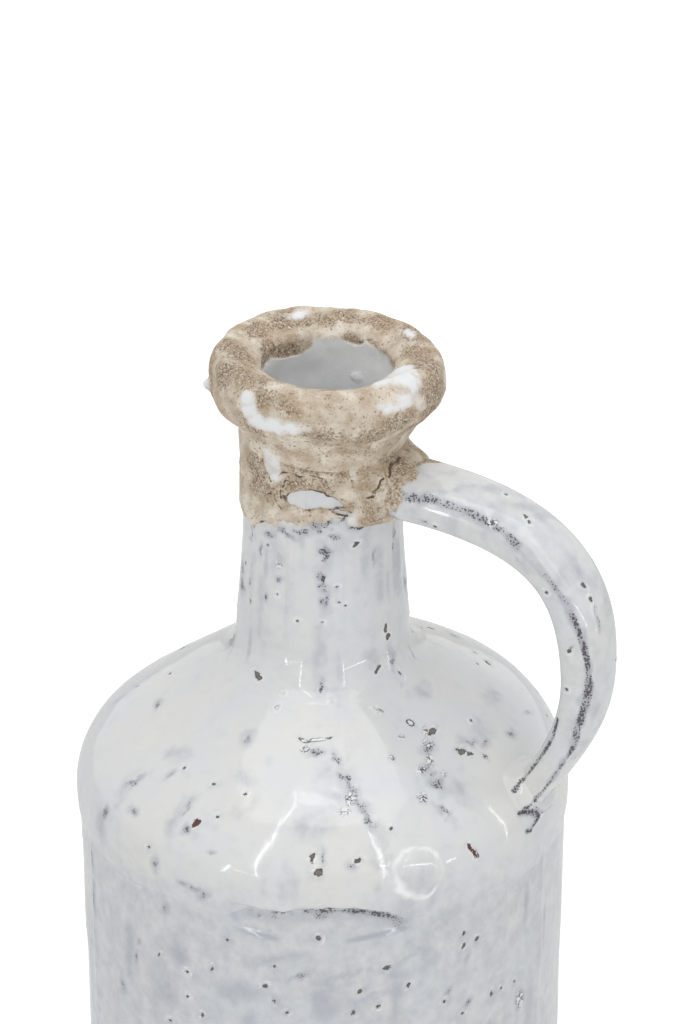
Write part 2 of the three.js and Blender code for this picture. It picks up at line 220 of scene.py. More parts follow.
foot_profile = np.concatenate([
    outline(
        (0, 0),
        (1.7, (FOOT_RADIUS - FOOT_ROUND, 0)),
        (1, (FOOT_RADIUS, 0), (FOOT_RADIUS, FOOT_ROUND)),
        (1, (FOOT_RADIUS, SLAB_TOP)),
        (2, (STEP_RADIUS, SLAB_TOP)),
        (1, (STEP_RADIUS, STEP_TOP)),
        (3, (0, STEP_TOP)),
    ),
    [(0, STEP_TOP)],
])
slab = turned("floor_slab_wire_cut", foot_profile, SLAB_STEPS)
points, outward = surface_of(slab)
# The wire leaves shallow arcs across the foot, as it is drawn through the clay.
arc = np.hypot(*(points[:, :2] - WIRE_CENTRE).T)
cut = WIRE_DEPTH * (1 + np.sin(arc * 2 * math.pi / WIRE_SPACING + lumps(points, 30, 5)))
under = smooth(-outward[:, 2], 0.4, 0.9)
side = 0.3 * lumps(points, 7, 6) * (1 - under) * smooth(np.hypot(points[:, 0], points[:, 1]), 93, 98)
points -= outward * (cut * under - side)[:, None]
settle(slab, points, terracotta, "terracotta", "floor_slab")

# The coil pressed into the corner of the floor and the wall, smeared by a finger: bare clay, inside.
# It is the CAD model's own piece, given the same earthenware.
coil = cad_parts["floor_seam_coil"]
coil.data.materials.clear()
coil.data.materials.append(terracotta)

# The wall: one thrown and paddled tube, narrowing a little to the foot, dipped in a white tin glaze.
# The glaze pulled thin over the ridges and ran down in cloudy streaks, and it stops above the foot.
WALL_TOP = 183
WALL_BOTTOM = 9.3
WALL_INSIDE = 92
BODY_RADIUS = 100
WALL_STEPS = 640
WALL_FLATS = 11
WALL_FLAT_DEPTH = 0.7
GLAZE_LINE = 6.5
# What a point counts as that is well away from every chip and scar, in mm.
WELL_AWAY = 6.0
# The edge of the shoulder's fold, and the crescent that is pressed in below it: side and height.
FOLD_LINE = [
    (-88, 181), (-81, 181.6), (-74, 180), (-69, 179.6), (-65, 182), (-56, 182.3), (-49, 180.2), (-43, 176.1),
    (-40, 171),
]
ARC_LINE = [(-86, 170.5), (-75, 167.8), (-66, 165.8), (-55, 166.4), (-43, 168.8), (-39, 170)]
# How crookedly the edge of each kind of mark runs, in mm.
CROOKED = {"hole": 0.15, "pit": 0.4, "chip": 0.8, "rust": 0.6, "scar": 0.4, "crater": 0.4}


def bell(value, middle, width):
    """1 at the middle, and falling off over the width on both sides of it."""
    return np.exp(-(((value - middle) / width) ** 2))


def hand_relief(points):
    """How far the potter's hands left the clay in or out, in mm."""
    broad = 0.5 * lumps(points, 60, 1) + 0.24 * lumps(points, 24, 2)
    return broad + 0.05 * lumps(points, 9, 3) + 0.012 * lumps(points, 3.5, 4)


def angles_of(points):
    """The side of each point in degrees from the handle, from -240 to 120, so that the front is unbroken."""
    degrees = np.degrees(np.arctan2(points[:, 1], points[:, 0]))
    return np.where(degrees > 120, degrees - 360, degrees)


def rough_edge(points, seed):
    """A crooked line's wandering to one side, from about -1 to 1."""
    return lumps(points, 2.6, seed) + 0.5 * lumps(points, 1.3, seed + 1)


def ellipse(offset, out, length, width, turn=0, stray_right=0, stray_up=0):
    """How far out of an ellipse laid on a surface that faces out its points are: 1 is on its edge."""
    across = np.cross((0, 0, 1), out)
    across /= np.linalg.norm(across) or 1
    right = offset @ across + stray_right
    above = offset @ np.cross(out, across) + stray_up
    c, s = math.cos(math.radians(turn)), math.sin(math.radians(turn))
    return np.hypot((right * c + above * s) * 2 / length, (above * c - right * s) * 2 / width)


def glaze_faults(points, outward, marks):
    """What marks do to a glazed piece: its depth, and where it is speckled, thin, bare, pale or ringed.

    A mark is its place (side in degrees and height, or x, y and z), its length, width and turn."""
    count = len(points)
    sunk = np.zeros(count)
    fields = {name: np.zeros(count) for name in ("speck", "thin", "rust", "loops", "pool_and_painted_light", "sand")}
    fields.update({name: np.full(count, WELL_AWAY) for name in ("bare", "ring")})
    sides = angles_of(points)
    radii = np.hypot(points[:, 0], points[:, 1])
    facing = (outward[:, :2] * points[:, :2]).sum(axis=1) > -0.2 * radii
    for kind, (*place, length, width, turn) in [(kind, mark) for kind in marks for mark in marks[kind]]:
        if len(place) == 2:
            aside = np.radians(sides - place[0]) * radii
            miss = aside**2 + (points[:, 2] - place[1]) ** 2 + np.where(facing, 0, 1e6)
        else:
            miss = ((points - place) ** 2).sum(axis=1)
        middle = int(np.argmin(miss))
        out = outward[middle]
        offset = points - points[middle]
        near = np.nonzero(((offset**2).sum(axis=1) < (length * 1.3 + 6) ** 2) & (outward @ out > 0.1))[0]
        here = points[near]
        crooked = CROOKED.get(kind, (0.07 if kind == "cloud" else 0.16) * length)
        strays = crooked * rough_edge(here, 13), crooked * rough_edge(here, 15)
        away = ellipse(offset[near], out, length, width, turn, *strays)
        gap = (away - 1) * math.sqrt(length * width) / 2
        if kind in ("pit", "chip", "rust"):
            gap += 0.16 * length * lumps(here, 1.3, 24)
        patchy = np.clip(0.6 + 0.4 * lumps(here, 5, 17) + 0.25 * lumps(here, 2.2, 18), 0, 1)
        most = {}
        if kind in ("hole", "pit", "chip", "rust"):
            sunk[near] += 0.55 * smooth(-gap, -0.35, 0.6) - 0.14 * bell(gap, 0.7, 0.5)
            fields["bare"][near] = np.minimum(fields["bare"][near], gap)
            most["thin"] = 0.42 * (1 - smooth(gap, 0.2, 3.5)) * patchy
            most["pool_and_painted_light"] = 0.6 * bell(gap, 1.0, 0.4) * np.clip(0.5 + lumps(here, 2, 25), 0, 1)
        if kind == "rust":
            most["rust"] = 0.85 - 0.85 * smooth(gap, 0.5, 1)
        if kind == "crater":
            blistered = (1 - smooth(gap, -0.6, 1.0)) * np.clip(0.95 + 0.5 * lumps(here, 2.2, 19), 0, 1)
            sunk[near] += 0.35 * blistered * lumps(here, 1.5, 20)
            most["loops"] = blistered
            most["thin"] = 0.3 * (1 - smooth(gap, 0, 2.5)) * patchy
        if kind == "scar":
            sunk[near] += 0.3 * smooth(-gap, 0.5, 1.1) - 0.3 * bell(gap, -0.4, 0.5)
            fields["ring"][near] = np.minimum(fields["ring"][near], gap)
            most["thin"] = 0.45 * (1 - smooth(gap, 0.3, 2.5)) * patchy
        if kind == "speckle":
            most["speck"] = (1 - smooth(away, 0.3, 1.25)) * (0.5 + 0.6 * patchy)
            most["thin"] = (1 - smooth(away, 0.3, 2.8)) * (0.4 + 0.35 * patchy)
            sunk[near] += most["speck"] * (0.1 + 0.12 * lumps(here, 1.7, 12))
        if kind == "cloud":
            most["thin"] = (1 - smooth(away, 0, 1.9)) * (0.25 + 0.38 * patchy)
        for name, values in most.items():
            fields[name][near] = np.maximum(fields[name][near], values)
    return sunk, fields


def scatter(marks, count, kinds, growth, slimness, areas, turns=(0, 180)):
    """Adds random marks of kinds with usual lengths, each time one in every area (sides and heights)."""
    for _ in range(count):
        kind, usual = fate.choice(kinds)
        length = usual * fate.uniform(*growth)
        width = length * fate.uniform(*slimness) + 0.3
        for sides, heights in areas:
            side = fate.uniform(*sides)
            side -= 360 if side > 120 else 0
            marks[kind].append((side, fate.uniform(*heights), length, width, fate.uniform(*turns)))


def streaks(points):
    """Where the glaze ran thin: cloudy, and drawn out down the sides."""
    drawn = points * (1, 1, 0.3)
    clouds = 0.55 * lumps(drawn, 9, 21) + 0.35 * lumps(drawn, 4, 22) + 0.5 * lumps(points, 30, 23)
    return smooth(clouds, 0.1, 1.0)


def along_fold(sides):
    """How much of the overhanging fold there is on each side, from 0 to 1."""
    return smooth(sides, -85, -75) * (1 - smooth(sides, -43, -38))


def clumps(points):
    """Clumps of burnt granules, from 0 to 1."""
    return np.clip(0.45 + 1.1 * lumps(points, 3.4, 36) + 0.5 * lumps(points, 1.5, 39), 0, 1)


# Opaque white tin glaze, fired glossy: a milky white that turns bluish grey where it is thin,
# with dark granules of burnt clay coming through, and bare clay with a dark rim in the chips.
glaze, tree, shader, place = new_material("glossy_white_tin_glaze")
# The pool field whitens the glaze: pooled glaze round chips, a painted highlight round the swelling, painted
# light in the bore.
thin, pool_and_painted_light, speck, bare, ring, loops, rust, sand = (
    node(tree, "Attribute", attribute_name=name).outputs["Fac"]
    for name in ("thin", "pool_and_painted_light", "speck", "bare", "ring", "loops", "rust", "sand")
)
cloud, warm, grain, crumb, peel, curl = (
    node(
        tree, "TexNoise",
        {"Vector": place, "Scale": 1 / (size * MM), "Detail": detail, "Roughness": roughness},
    )
    for size, detail, roughness in (
        (6, 5.0, 0.62), (30, 3.0, 0.5), (1.15, 2.0, 0.6), (0.7, 2.0, 0.5), (6, 1.0, 0.5), (1.7, 1.0, 0.5),
    )
)
dots = node(tree, "TexVoronoi", {"Vector": place, "Scale": 1 / (0.95 * MM)})
# Noise added to each field makes its edges ragged.
runny, granular, off_curl, wobbly, edge, dusted = (
    node(tree, "Math", {0: value, 1: factor, 2: added}, operation="MULTIPLY_ADD")
    for value, factor, added in (
        (cloud, 0.9, thin), (speck, -0.5, dots), (curl, 1.0, -0.5), (crumb, 0.9, ring), (crumb, 1.3, bare),
        (crumb, 0.6, sand),
    )
)
off_line = node(tree, "Math", {0: wobbly, 1: 0.5}, operation="SUBTRACT")
curl_gap, line_gap = (node(tree, "Math", {0: value}, operation="ABSOLUTE") for value in (off_curl, off_line))
thinness = node(
    tree, "MapRange", {"Value": runny, "From Min": 0.4, "From Max": 1.5}, interpolation_type="SMOOTHSTEP",
)
# Where the speckle is dense the glaze is painted a darker grey, a painted shade round it.
speckle_shade = node(tree, "MapRange", {"Value": speck, "From Min": 0.25, "To Max": 0.6})
warmed, granules, strand, foam, healed, line, broken, chipped, deep, sandy, graded = (
    node(tree, "MapRange", {"Value": value, "From Min": low, "From Max": high})
    for value, low, high in (
        (warm, 0.35, 0.65), (granular, 0.03, -0.05), (curl_gap, 0.065, 0.03), (off_curl, 0.04, 0.09),
        (wobbly, 0.35, -0.05), (line_gap, 0.42, 0.2), (grain, 0.36, 0.46), (edge, 0.78, 0.56),
        (edge, 0.65, 0.05), (dusted, 0.6, 0.95), (grain, 0.35, 0.62),
    )
)
looped, foamy, drawn, mottled, gritty = (
    node(tree, "Math", {0: one, 1: other}, operation="MULTIPLY")
    for one, other in ((strand, loops), (foam, loops), (line, broken), (deep, crumb), (sandy, grain))
)
coat, burnt, bared, sand_colour = (
    node(tree, "Mix", {0: amount, 6: one, 7: other}, data_type="RGBA")
    for amount, one, other in (
        (warmed, "#DFE2E5", "#E5E5E2"), (crumb, "#2F2A31", "#79727B"), (mottled, "#403B39", "#A39B95"),
        (graded, "#8F7A62", "#D8CBB8"),
    )
)
rusty = node(tree, "Mix", {0: rust, 6: bared, 7: "#5E2C22"}, data_type="RGBA")
# The layers, from below: thin glaze, pooled glaze with a painted highlight and painted light, a painted shade
# round the speckle and burnt granules; froth and dark threads of burst bubbles; the pale floor and the dark
# broken line of a scar; bare clay, and sand.
for amount, over in (
    (thinness, "#B5BAC3"), (pool_and_painted_light, "#FCFDFD"), (speckle_shade, "#9A989F"), (granules, burnt), (foamy, "#EFF0EE"),
    (looped, burnt), (healed, "#F0F1F1"), (drawn, burnt), (chipped, rusty), (sandy, sand_colour),
):
    coat = node(tree, "Mix", {0: amount, 6: coat, 7: over}, data_type="RGBA")
dullness = 0.07
for amount, more in ((granules, 0.3), (chipped, 0.6), (sandy, 0.8)):
    dullness = node(tree, "Math", {0: amount, 1: more, 2: dullness}, operation="MULTIPLY_ADD", use_clamp=True)
bump = node(tree, "Bump", {"Height": peel, "Distance": 0.04 * MM, "Strength": 1.0})
for height, distance, sunken in ((granules, 0.12, True), (gritty, 0.5, False)):
    settings = {"Height": height, "Distance": distance * MM, "Strength": 0.8, "Normal": bump}
    bump = node(tree, "Bump", settings, invert=sunken)
feed(tree, shader, {"Base Color": coat, "Roughness": dullness, "IOR": 1.5, "Normal": bump})

wall_profile = outline(
    (95.4, 5),
    (0.8, (98.7, GLAZE_LINE)),
    (1.9, (99.3, 66)),
    (1.9, (BODY_RADIUS, 119)),
    (0.95, (BODY_RADIUS, WALL_TOP)),
    (2, (WALL_INSIDE, WALL_TOP)),
    (9, (WALL_INSIDE, WALL_BOTTOM)),
    (2, (95.4, 9)),
)
WALL_MARKS = {
    "speckle": [
        (-101, 187, 5, 3, 80), (-99, 169, 4, 2.4, 80), (-108, 147, 3, 1.6, 60), (-109, 138, 5, 2, 90),
        (-65, 151, 7, 1.9, 25), (-30, 135, 4, 2, 50), (-24, 126.4, 4, 1.6, 40), (-7, 118, 3, 3, 0),
        (-115, 121, 6, 3, 90), (-78, 116, 5, 2, 80), (-84, 177, 5, 3, 30), (-75, 176, 3, 3, 0),
        (-41, 174, 2.4, 5, 20), (-129, 168, 1.2, 12, 0), (-129, 150, 1.2, 10, 0),
    ],
    "pit": [
        (-101, 146, 2.2, 1.4, 60), (-93, 143, 2, 1.4, -50), (-86, 148, 2.4, 1.3, 80), (-89, 125, 2, 1.5, 90),
        (-73, 145, 2.2, 1.4, 40), (-71, 138, 2, 1.4, -60), (-61, 167.6, 2, 1.6, 0), (-45, 152, 3, 1.8, 20),
        (-51, 143, 2.8, 1.6, 30), (-47, 135, 2, 1.5, 0), (-40, 143, 2.2, 1.5, 70), (-53, 133, 2.4, 1.6, 90),
        (-26, 160, 1.8, 1.3, 60), (-22, 155.5, 2.4, 1.5, 60), (-26, 154, 2.6, 1.5, 50),
        (-17, 125.6, 2.6, 1.6, 80), (-98, 118, 2, 1.4, 0),
    ],
    "cloud": [
        (-25, 148, 5, 2.5, 60), (-48, 141, 12, 3, 15), (-40, 156, 16, 2.6, 25), (-30, 170, 12, 4, 30),
        (-60, 140, 10, 4, 0), (-95, 150, 8, 20, 0), (-112, 140, 6, 26, 0), (-5, 160, 3, 34, 0),
        (4, 140, 3, 30, 0), (-80, 175, 10, 6, 0), (-34, 180, 12, 5, 20), (-128, 150, 2, 40, 0),
        (-70, 158, 20, 5, 15), (-56, 150, 22, 3, 20), (-80, 140, 16, 10, 0), (-100, 130, 12, 22, 0),
    ],
    "hole": [
        (-31, 131, 1.5, 1.3, 0), (-26, 123, 1.5, 1.3, 0), (-14, 127, 1.4, 1.3, 0), (-9, 126, 1.5, 1.3, 0),
        (-82, 163, 1.4, 1.3, 0), (-93, 131, 1.4, 1.3, 0), (-68, 133, 1.5, 1.3, 0), (-71, 154, 1.3, 1.3, 0),
    ],
    "crater": [
        (-7, 115, 5.5, 8, 0),
    ],
    "chip": [
        (-108, 174, 3.4, 2.4, -40),
    ],
}
fate = random.Random(3)
scatter(
    WALL_MARKS, 46, [("pit", 2.4), ("pit", 2.4), ("hole", 1.5), ("speckle", 5), ("cloud", 10)],
    (0.8, 1.5), (0.4, 0.8), [((-235, -120), (14, 172)), ((10, 115), (14, 172)), ((-120, 10), (14, 108))],
)

wall = turned("body_wall_glazed", wall_profile, WALL_STEPS)
points, outward = surface_of(wall)
sides = angles_of(points)
heights = points[:, 2]
outside = np.hypot(points[:, 0], points[:, 1]) > 96
fade = np.sin(np.pi * np.clip((heights - WALL_BOTTOM) / (WALL_TOP - WALL_BOTTOM), 0, 1))
flats = WALL_FLAT_DEPTH * fade * np.sin(WALL_FLATS * np.radians(sides) / 2) ** 2
# Upright ridges stand where the paddle's strokes met.
ridges = sum(
    0.55 * bell(sides, side, 1.1) * smooth(heights, low, low + 12)
    for side, low in ((-129, 60), (2, 90), (-14, 100), (60, 40), (-190, 70))
)
# A shallow crescent is pressed in below the fold of the shoulder.
fold = np.interp(sides, *zip(*FOLD_LINE))
arc = np.interp(sides, *zip(*ARC_LINE))
at_fold = along_fold(sides)
crescent = 1.3 * at_fold * smooth(heights, arc - 1.6, arc + 2.4)
level = points * (1, 1, 0)
glaze_foot = GLAZE_LINE + 2.2 + 1.6 * lumps(level, 22, 8) + 1.2 * lumps(level, 6, 9)
bare_foot = 1.6 * (1 - smooth(heights, glaze_foot - 0.7, glaze_foot + 0.5))
drips = 0.35 * bell(heights, glaze_foot + 1.6, 1.5)
shift = hand_relief(points) - flats + ridges - crescent - bare_foot + drips
sunk, fields = glaze_faults(points, outward, WALL_MARKS)
fields["thin"] = 0.7 * np.maximum(fields["thin"], 0.5 * streaks(points))
fields["thin"] += 0.42 * (1 - smooth(heights, 165, 200))
pressed = at_fold * smooth(lumps(points, 9, 34), -0.6, 0.5)
fields["thin"] += 0.6 * pressed * bell(heights, arc, 1.0)
clumped = clumps(points) * (0.6 + 0.4 * smooth(sides, -84, -58)) + 0.4 * smooth(sides, -58, -48)
clumped = np.clip(clumped, 0, 1)
near_fold = bell(heights, fold - 1.6, 1.5) * at_fold
crumbs = bell(heights, fold - 4.2, 2.4) * at_fold
fields["speck"] = np.maximum(fields["speck"], 1.5 * near_fold * clumped)
fields["speck"] = np.maximum(fields["speck"], 0.8 * crumbs * np.clip(0.2 + 1.1 * lumps(points, 4, 35), 0, 1))
fields["thin"] = np.maximum(fields["thin"], 0.42 + 0.6 * near_fold * clumped + 0.2 * crumbs)
points += outward * np.where(outside, shift - sunk, 0)[:, None]
settle(wall, points, glaze, "white_glaze", "body_wall", **fields)

# The shoulder: a dome pressed over the wall and luted to it, in the same glaze.
# At the front its edge was left as an overhanging fold; elsewhere it is smoothed down over the wall.
EDGE_RADIUS = 101.3
WIDEST = 188
SKIRT_FOOT = (99.2, 166)
SKIRT_INSIDE = 86.7
CROWN = 252.03
NECK_RADIUS = 32.2
SLOPE = math.tan(math.radians(34.8))
SWELL = 5.6
SWELL_SIDE = 60
SWELL_SKEW = 0.6
BULGE = (78.7, -61.5, 193.5)
SHOULDER_STEPS = 632


def on_slope(radius, below=0):
    """The radius and height of a place on the shoulder's straight slope, or below it."""
    return radius, CROWN - (radius - NECK_RADIUS) * SLOPE - below


def swell(points):
    """How far the dome is lifted on its fuller side."""
    share = np.clip((BODY_RADIUS - np.hypot(points[:, 0], points[:, 1])) / 56, 0, 1)
    side = np.maximum(0, np.cos(np.arctan2(points[:, 1], points[:, 0]) - math.radians(SWELL_SIDE)))
    return SWELL * side * smooth(points[:, 2], WIDEST, WIDEST + 9) * np.sin(np.pi * share**SWELL_SKEW)


def from_bulge(points):
    """How far each point is from the swelling low on the right of the front, with an uneven edge."""
    return np.linalg.norm(points - BULGE, axis=1) + 2.2 * lumps(points, 8, 33)


def shoulder_shift(points):
    """How far the finished shoulder stands out of its turned shape, and its fold's height and weight."""
    sides = angles_of(points)
    heights = points[:, 2]
    fold = np.interp(sides, *zip(*FOLD_LINE)) + 0.5 * lumps(points, 3, 31) + 0.3 * lumps(points, 1.5, 37)
    at_fold = along_fold(sides)
    tucked = 2.3 * at_fold * (1 - smooth(heights, fold - 0.9, fold + 0.6))
    rolled = 0.4 * at_fold * bell(heights, fold + 2, 1.6)
    skirt = 0.75 * smooth(177 - heights + 1.5 * lumps(points, 14, 32), -4, 9)
    # The glaze and the clay were left thick at the swelling.
    mesa = 1.3 * (1 - smooth(from_bulge(points), 7.5, 12.0))
    dents = sum(
        depth * bell(sides, side, wide) * bell(heights, height, tall)
        for side, height, wide, tall, depth in (
            (-78, 197, 9, 7, 0.5), (-57, 193, 8, 3, -0.4), (-62, 206, 9, 5, 0.3), (-100, 226, 12, 8, 0.5),
            (-20, 205, 10, 8, 0.4),
        )
    )
    return hand_relief(points) + mesa + dents + rolled - tucked - skirt, fold, at_fold


shoulder_outside = outline(
    SKIRT_FOOT,
    (0.9, (99.9, 169)),
    (0.9, (100.6, 177)),
    (0.9, (EDGE_RADIUS, 182), (EDGE_RADIUS, WIDEST)),
    (0.9, on_slope(EDGE_RADIUS), on_slope(EDGE_RADIUS - 20)),
    (0.95, on_slope(37)),
)
inner_edge = (EDGE_RADIUS - 24.6, on_slope(EDGE_RADIUS - 20, 6.6)[1])
shoulder_inside = outline(
    on_slope(37),
    (3, on_slope(34, 9)),
    (4, inner_edge),
    (3, (89, 201), (SKIRT_INSIDE, WIDEST)),
    (4, (SKIRT_INSIDE, 171)),
    (3, (91.5, 171)),
    (3, SKIRT_FOOT),
)
SHOULDER_MARKS = {
    "speckle": [
        (-144, 248, 7, 1, 75), (-137, 226.5, 5, 3, -40), (-160, 220, 4, 1.3, 40), (-89, 232, 5, 4, 90),
        (-107, 217, 4, 2, 80), (-117, 210, 10, 2.2, 65), (-111, 203, 4, 3, 0), (-96, 211, 8, 2.6, 70),
        (-94, 205, 5, 3, 40), (-86, 200, 3, 1.4, 0), (-101, 188, 5, 3, 80), (-90, 183.6, 5, 2, -10),
        (-62, 231, 7, 2.6, 10), (-60, 202.6, 5, 2, 90), (-53, 200, 4, 3, 0), (-22, 227, 5, 5, 20),
        (-26, 223, 5, 4, 0), (-25, 221.2, 4, 2.4, 0), (-7, 223.2, 7, 3, -40), (-2, 221.3, 5, 3, 0),
        (9, 218, 5, 3, -10), (-26, 218.2, 9, 5, -60), (-28, 211.4, 9, 2, -65), (-55.5, 229, 8, 2.4, -70),
        (-53, 224, 8, 3.6, -60), (-51, 221, 8, 3.4, -50), (-49.5, 217.5, 8, 4.4, -60), (-48, 213, 9, 3, -75),
        (-52.5, 222.5, 5, 2.6, -60), (-50.5, 219, 6, 3, -55), (-49, 215.5, 6, 2.4, -65),
        (53, 214, 4, 1.2, -35), (11, 247.5, 6, 1.2, 90), (-10, 246.5, 5, 3, 70), (24, 216, 5, 1.6, -30),
        (-121, 196, 6, 3, 70), (-93, 184, 4, 2, 0), (-88, 182, 5, 2.4, 40),
    ],
    "hole": [
        (-154, 231, 1.5, 1.3, 0), (-82, 218.6, 1.5, 1.4, 0), (-92, 219, 1.6, 1.4, 0),
        (-104, 220, 1.5, 1.3, 0), (-87, 211, 1.5, 1.3, 0), (-103, 194, 1.5, 1.3, 0),
        (-43, 209.7, 1.7, 1.4, 60), (49, 228, 1.6, 1.4, 0), (38, 230, 1.7, 1.4, 0), (32, 209, 1.5, 1.3, 0),
        (1, 227, 1.5, 1.3, 0), (-82, 241, 1.5, 1.4, 0),
    ],
    "rust": [
        (-92, 208.3, 4, 2.6, 55), (-24, 196.4, 6.6, 2.4, -62),
    ],
    "scar": [
        (-67, 233.8, 4.6, 1.3, -30), (-61, 234.2, 8.6, 1.4, 14), (-22, 234.4, 3.2, 2.2, -50),
        (-23, 194.8, 3.4, 1.6, -75),
    ],
    "crater": [
        (-66, 231.4, 3.4, 2.6, 30), (-29, 231.8, 2.2, 1.8, 0), (-18, 231.5, 2, 4, -40),
        (-21, 228.3, 5, 4.4, 20), (-24, 224.6, 3, 5, -30), (-28, 222.8, 4.4, 2.8, 20),
        (-22, 220, 2.4, 2.2, 0), (-36, 227.4, 2.2, 2.2, 0), (-6, 218.5, 2.6, 3, 0), (-32, 216.2, 4, 4, 0),
        (-52, 219, 5, 6, 0), (-54, 215.7, 4, 3, 0),
    ],
    "chip": [
        (-61, 197.4, 3.4, 3, 20), (-52, 201.5, 2.4, 2, 0), (-62, 202.6, 3, 1.6, 80),
        (-16, 230.3, 4.4, 2.4, 10), (-12, 222.9, 4.2, 3.2, -20), (-10, 221.3, 2.8, 1.6, -20),
        (-34, 240.6, 2.4, 1.2, -30), (-32, 239.6, 2.2, 1.2, -30),
    ],
    "cloud": [
        (-58, 226, 9, 12, 0), (-54, 221, 9, 20, -20), (-46, 207, 7, 16, -10), (-20, 214, 8, 14, 20),
        (0, 224, 14, 12, 0), (-118, 206, 6, 20, 0), (-98, 206, 7, 18, 0), (-5, 240, 14, 8, -20),
        (-122, 190, 8, 14, 0), (-46, 199, 9, 8, 0), (-84, 222, 10, 8, 0), (20, 226, 14, 10, -20),
        (-110, 222, 12, 8, 20), (-62, 212, 16, 12, 0),
    ],
}
scatter(
    SHOULDER_MARKS, 42,
    [
        ("chip", 4), ("hole", 1.5), ("hole", 1.5), ("crater", 3.6), ("speckle", 7), ("speckle", 7),
        ("cloud", 12),
    ],
    (0.8, 1.4), (0.45, 0.85), [((35, 200), (186, 246))],
)

shoulder_profile = np.concatenate([shoulder_outside, shoulder_inside])
shoulder = turned("shoulder_dome_glazed", shoulder_profile, SHOULDER_STEPS)
points, outward = surface_of(shoulder)
heights = points[:, 2]
outside = ((outward[:, :2] * points[:, :2]).sum(axis=1) > 0) & (heights > 165.5)
shift, fold, at_fold = shoulder_shift(points)
sunk, fields = glaze_faults(points, outward, SHOULDER_MARKS)
fields["thin"] = np.maximum(fields["thin"], 0.4 * streaks(points)) + 0.42 * (1 - smooth(heights, 165, 200))
below = bell(heights, fold - 0.9, 1.4) * at_fold * clumps(points)
fields["speck"] = np.maximum(fields["speck"], 1.5 * below)
# A ring of white is painted round the swelling as its highlight, widest below it and on its left.
roll = 0.6 + 0.9 * smooth((points - BULGE) @ (-0.52, -0.3, -0.8), -5, 8)
painted_highlight_ring = bell(from_bulge(points) + 0.8 * lumps(points, 3, 40), 10.3, roll)
fields["pool_and_painted_light"] = np.maximum(fields["pool_and_painted_light"], painted_highlight_ring * np.clip(0.6 + 0.9 * lumps(points, 5, 38), 0, 1))
points[:, 2] += swell(points)
points += outward * np.where(outside, shift - sunk, 0)[:, None]
settle(shoulder, points, glaze, "white_glaze", "shoulder_dome", **fields)

# The neck: a thrown tube luted into the dome, with a soft fillet round its foot, in the same glaze.
# Its bore is glazed too, as far down as the eye reaches.
BORE = 26.6
NECK_TOP = 346
NECK_STEPS = 384
neck_profile = outline(
    on_slope(53, 0.55),
    (0.6, on_slope(44, -0.1)),
    (0.55, (35, 250.08), (35, 261.08)),
    (0.55, (33.4, 279.6), (33.4, 279.6), (NECK_RADIUS, 298.03)),
    (0.55, (NECK_RADIUS, 338)),
    (4, (30, NECK_TOP)),
    (2, (BORE, NECK_TOP)),
    (1.2, (BORE, 300)),
    (4, (BORE, 242)),
    (3, (30, 238)),
    (5, on_slope(53, 0.55)),
)
NECK_MARKS = {
    "speckle": [
        (-83, 309.7, 6, 2.3, -20), (-110, 299, 5, 1.6, 90), (-119, 290.5, 6, 1.1, 90),
        (-121, 283, 4, 2.4, 70), (-118, 275.4, 2.4, 1.4, 90), (-102, 280.5, 3, 1.3, 90),
        (-92, 290, 3, 2.6, 0), (-64, 313.7, 8, 4, -40), (-58, 303.3, 8, 3.6, 90), (-60, 291.5, 10, 4, 90),
        (-58, 282.1, 8, 3.4, 90), (-37, 313.4, 6, 4, 0), (-21, 298, 7, 2.4, 90), (2, 304.7, 6, 2.2, 90),
        (0, 298.5, 4, 1.2, 80), (-10, 251, 6, 3, 70), (11, 249, 6, 1.1, 90), (-61, 248.5, 6, 3, 85),
        (-52, 310, 6, 3, -20), (-75, 312, 9, 3, 5), (-101, 308, 6, 3, 10), (-122, 305, 12, 1.2, 88),
        (-117, 309, 8, 1, 92), (-90, 311.5, 7, 3, 10), (-60, 316, 12, 2.6, 0), (-44, 317, 6, 2, 20),
    ],
    "hole": [
        (-102, 303, 1, 0.9, 0), (-93, 283, 1, 0.9, 0), (-77, 273.7, 1, 0.9, 0), (-60, 273.5, 1, 0.9, 0),
        (-50, 288.7, 1, 0.9, 0), (-49, 282, 1, 0.9, 0), (-44, 280.6, 1, 0.9, 0), (-14, 243.5, 1, 0.9, 0),
        (-55, 243.5, 1, 0.9, 0), (-82, 245, 1, 0.9, 0),
    ],
    "crater": [
        (-93, 295.8, 2.5, 2.6, 0),
    ],
    "chip": [
        (-59, 291.5, 3.4, 1.3, 80), (-32, 313.2, 2.6, 1.6, 0), (-36, 305.6, 2.4, 1.5, 10),
        (-12, 265.5, 4.5, 1.8, 84), (-11, 261.5, 3, 2.2, 60), (-23, 251, 3, 1.6, 30), (-9, 247, 1.6, 3, 0),
        (-102, 248, 5, 2.2, -20), (-61, 247, 2.4, 1.4, 85),
    ],
    "cloud": [
        (-58, 300, 7, 40, 0), (-62, 262, 7, 22, 0), (-28, 300, 5, 30, 0), (-44, 308, 12, 10, 0),
        (-96, 300, 10, 12, 0), (-118, 286, 4, 34, 0), (-16, 290, 6, 40, 0), (-25, 255, 12, 8, -20),
        (-10, 256, 5, 10, 0),
    ],
}
scatter(
    NECK_MARKS, 22, [("chip", 3), ("hole", 1.5), ("speckle", 6), ("speckle", 6), ("cloud", 10)],
    (0.8, 1.4), (0.35, 0.8), [((-235, -130), (250, 308)), ((15, 118), (250, 308))], (60, 120),
)

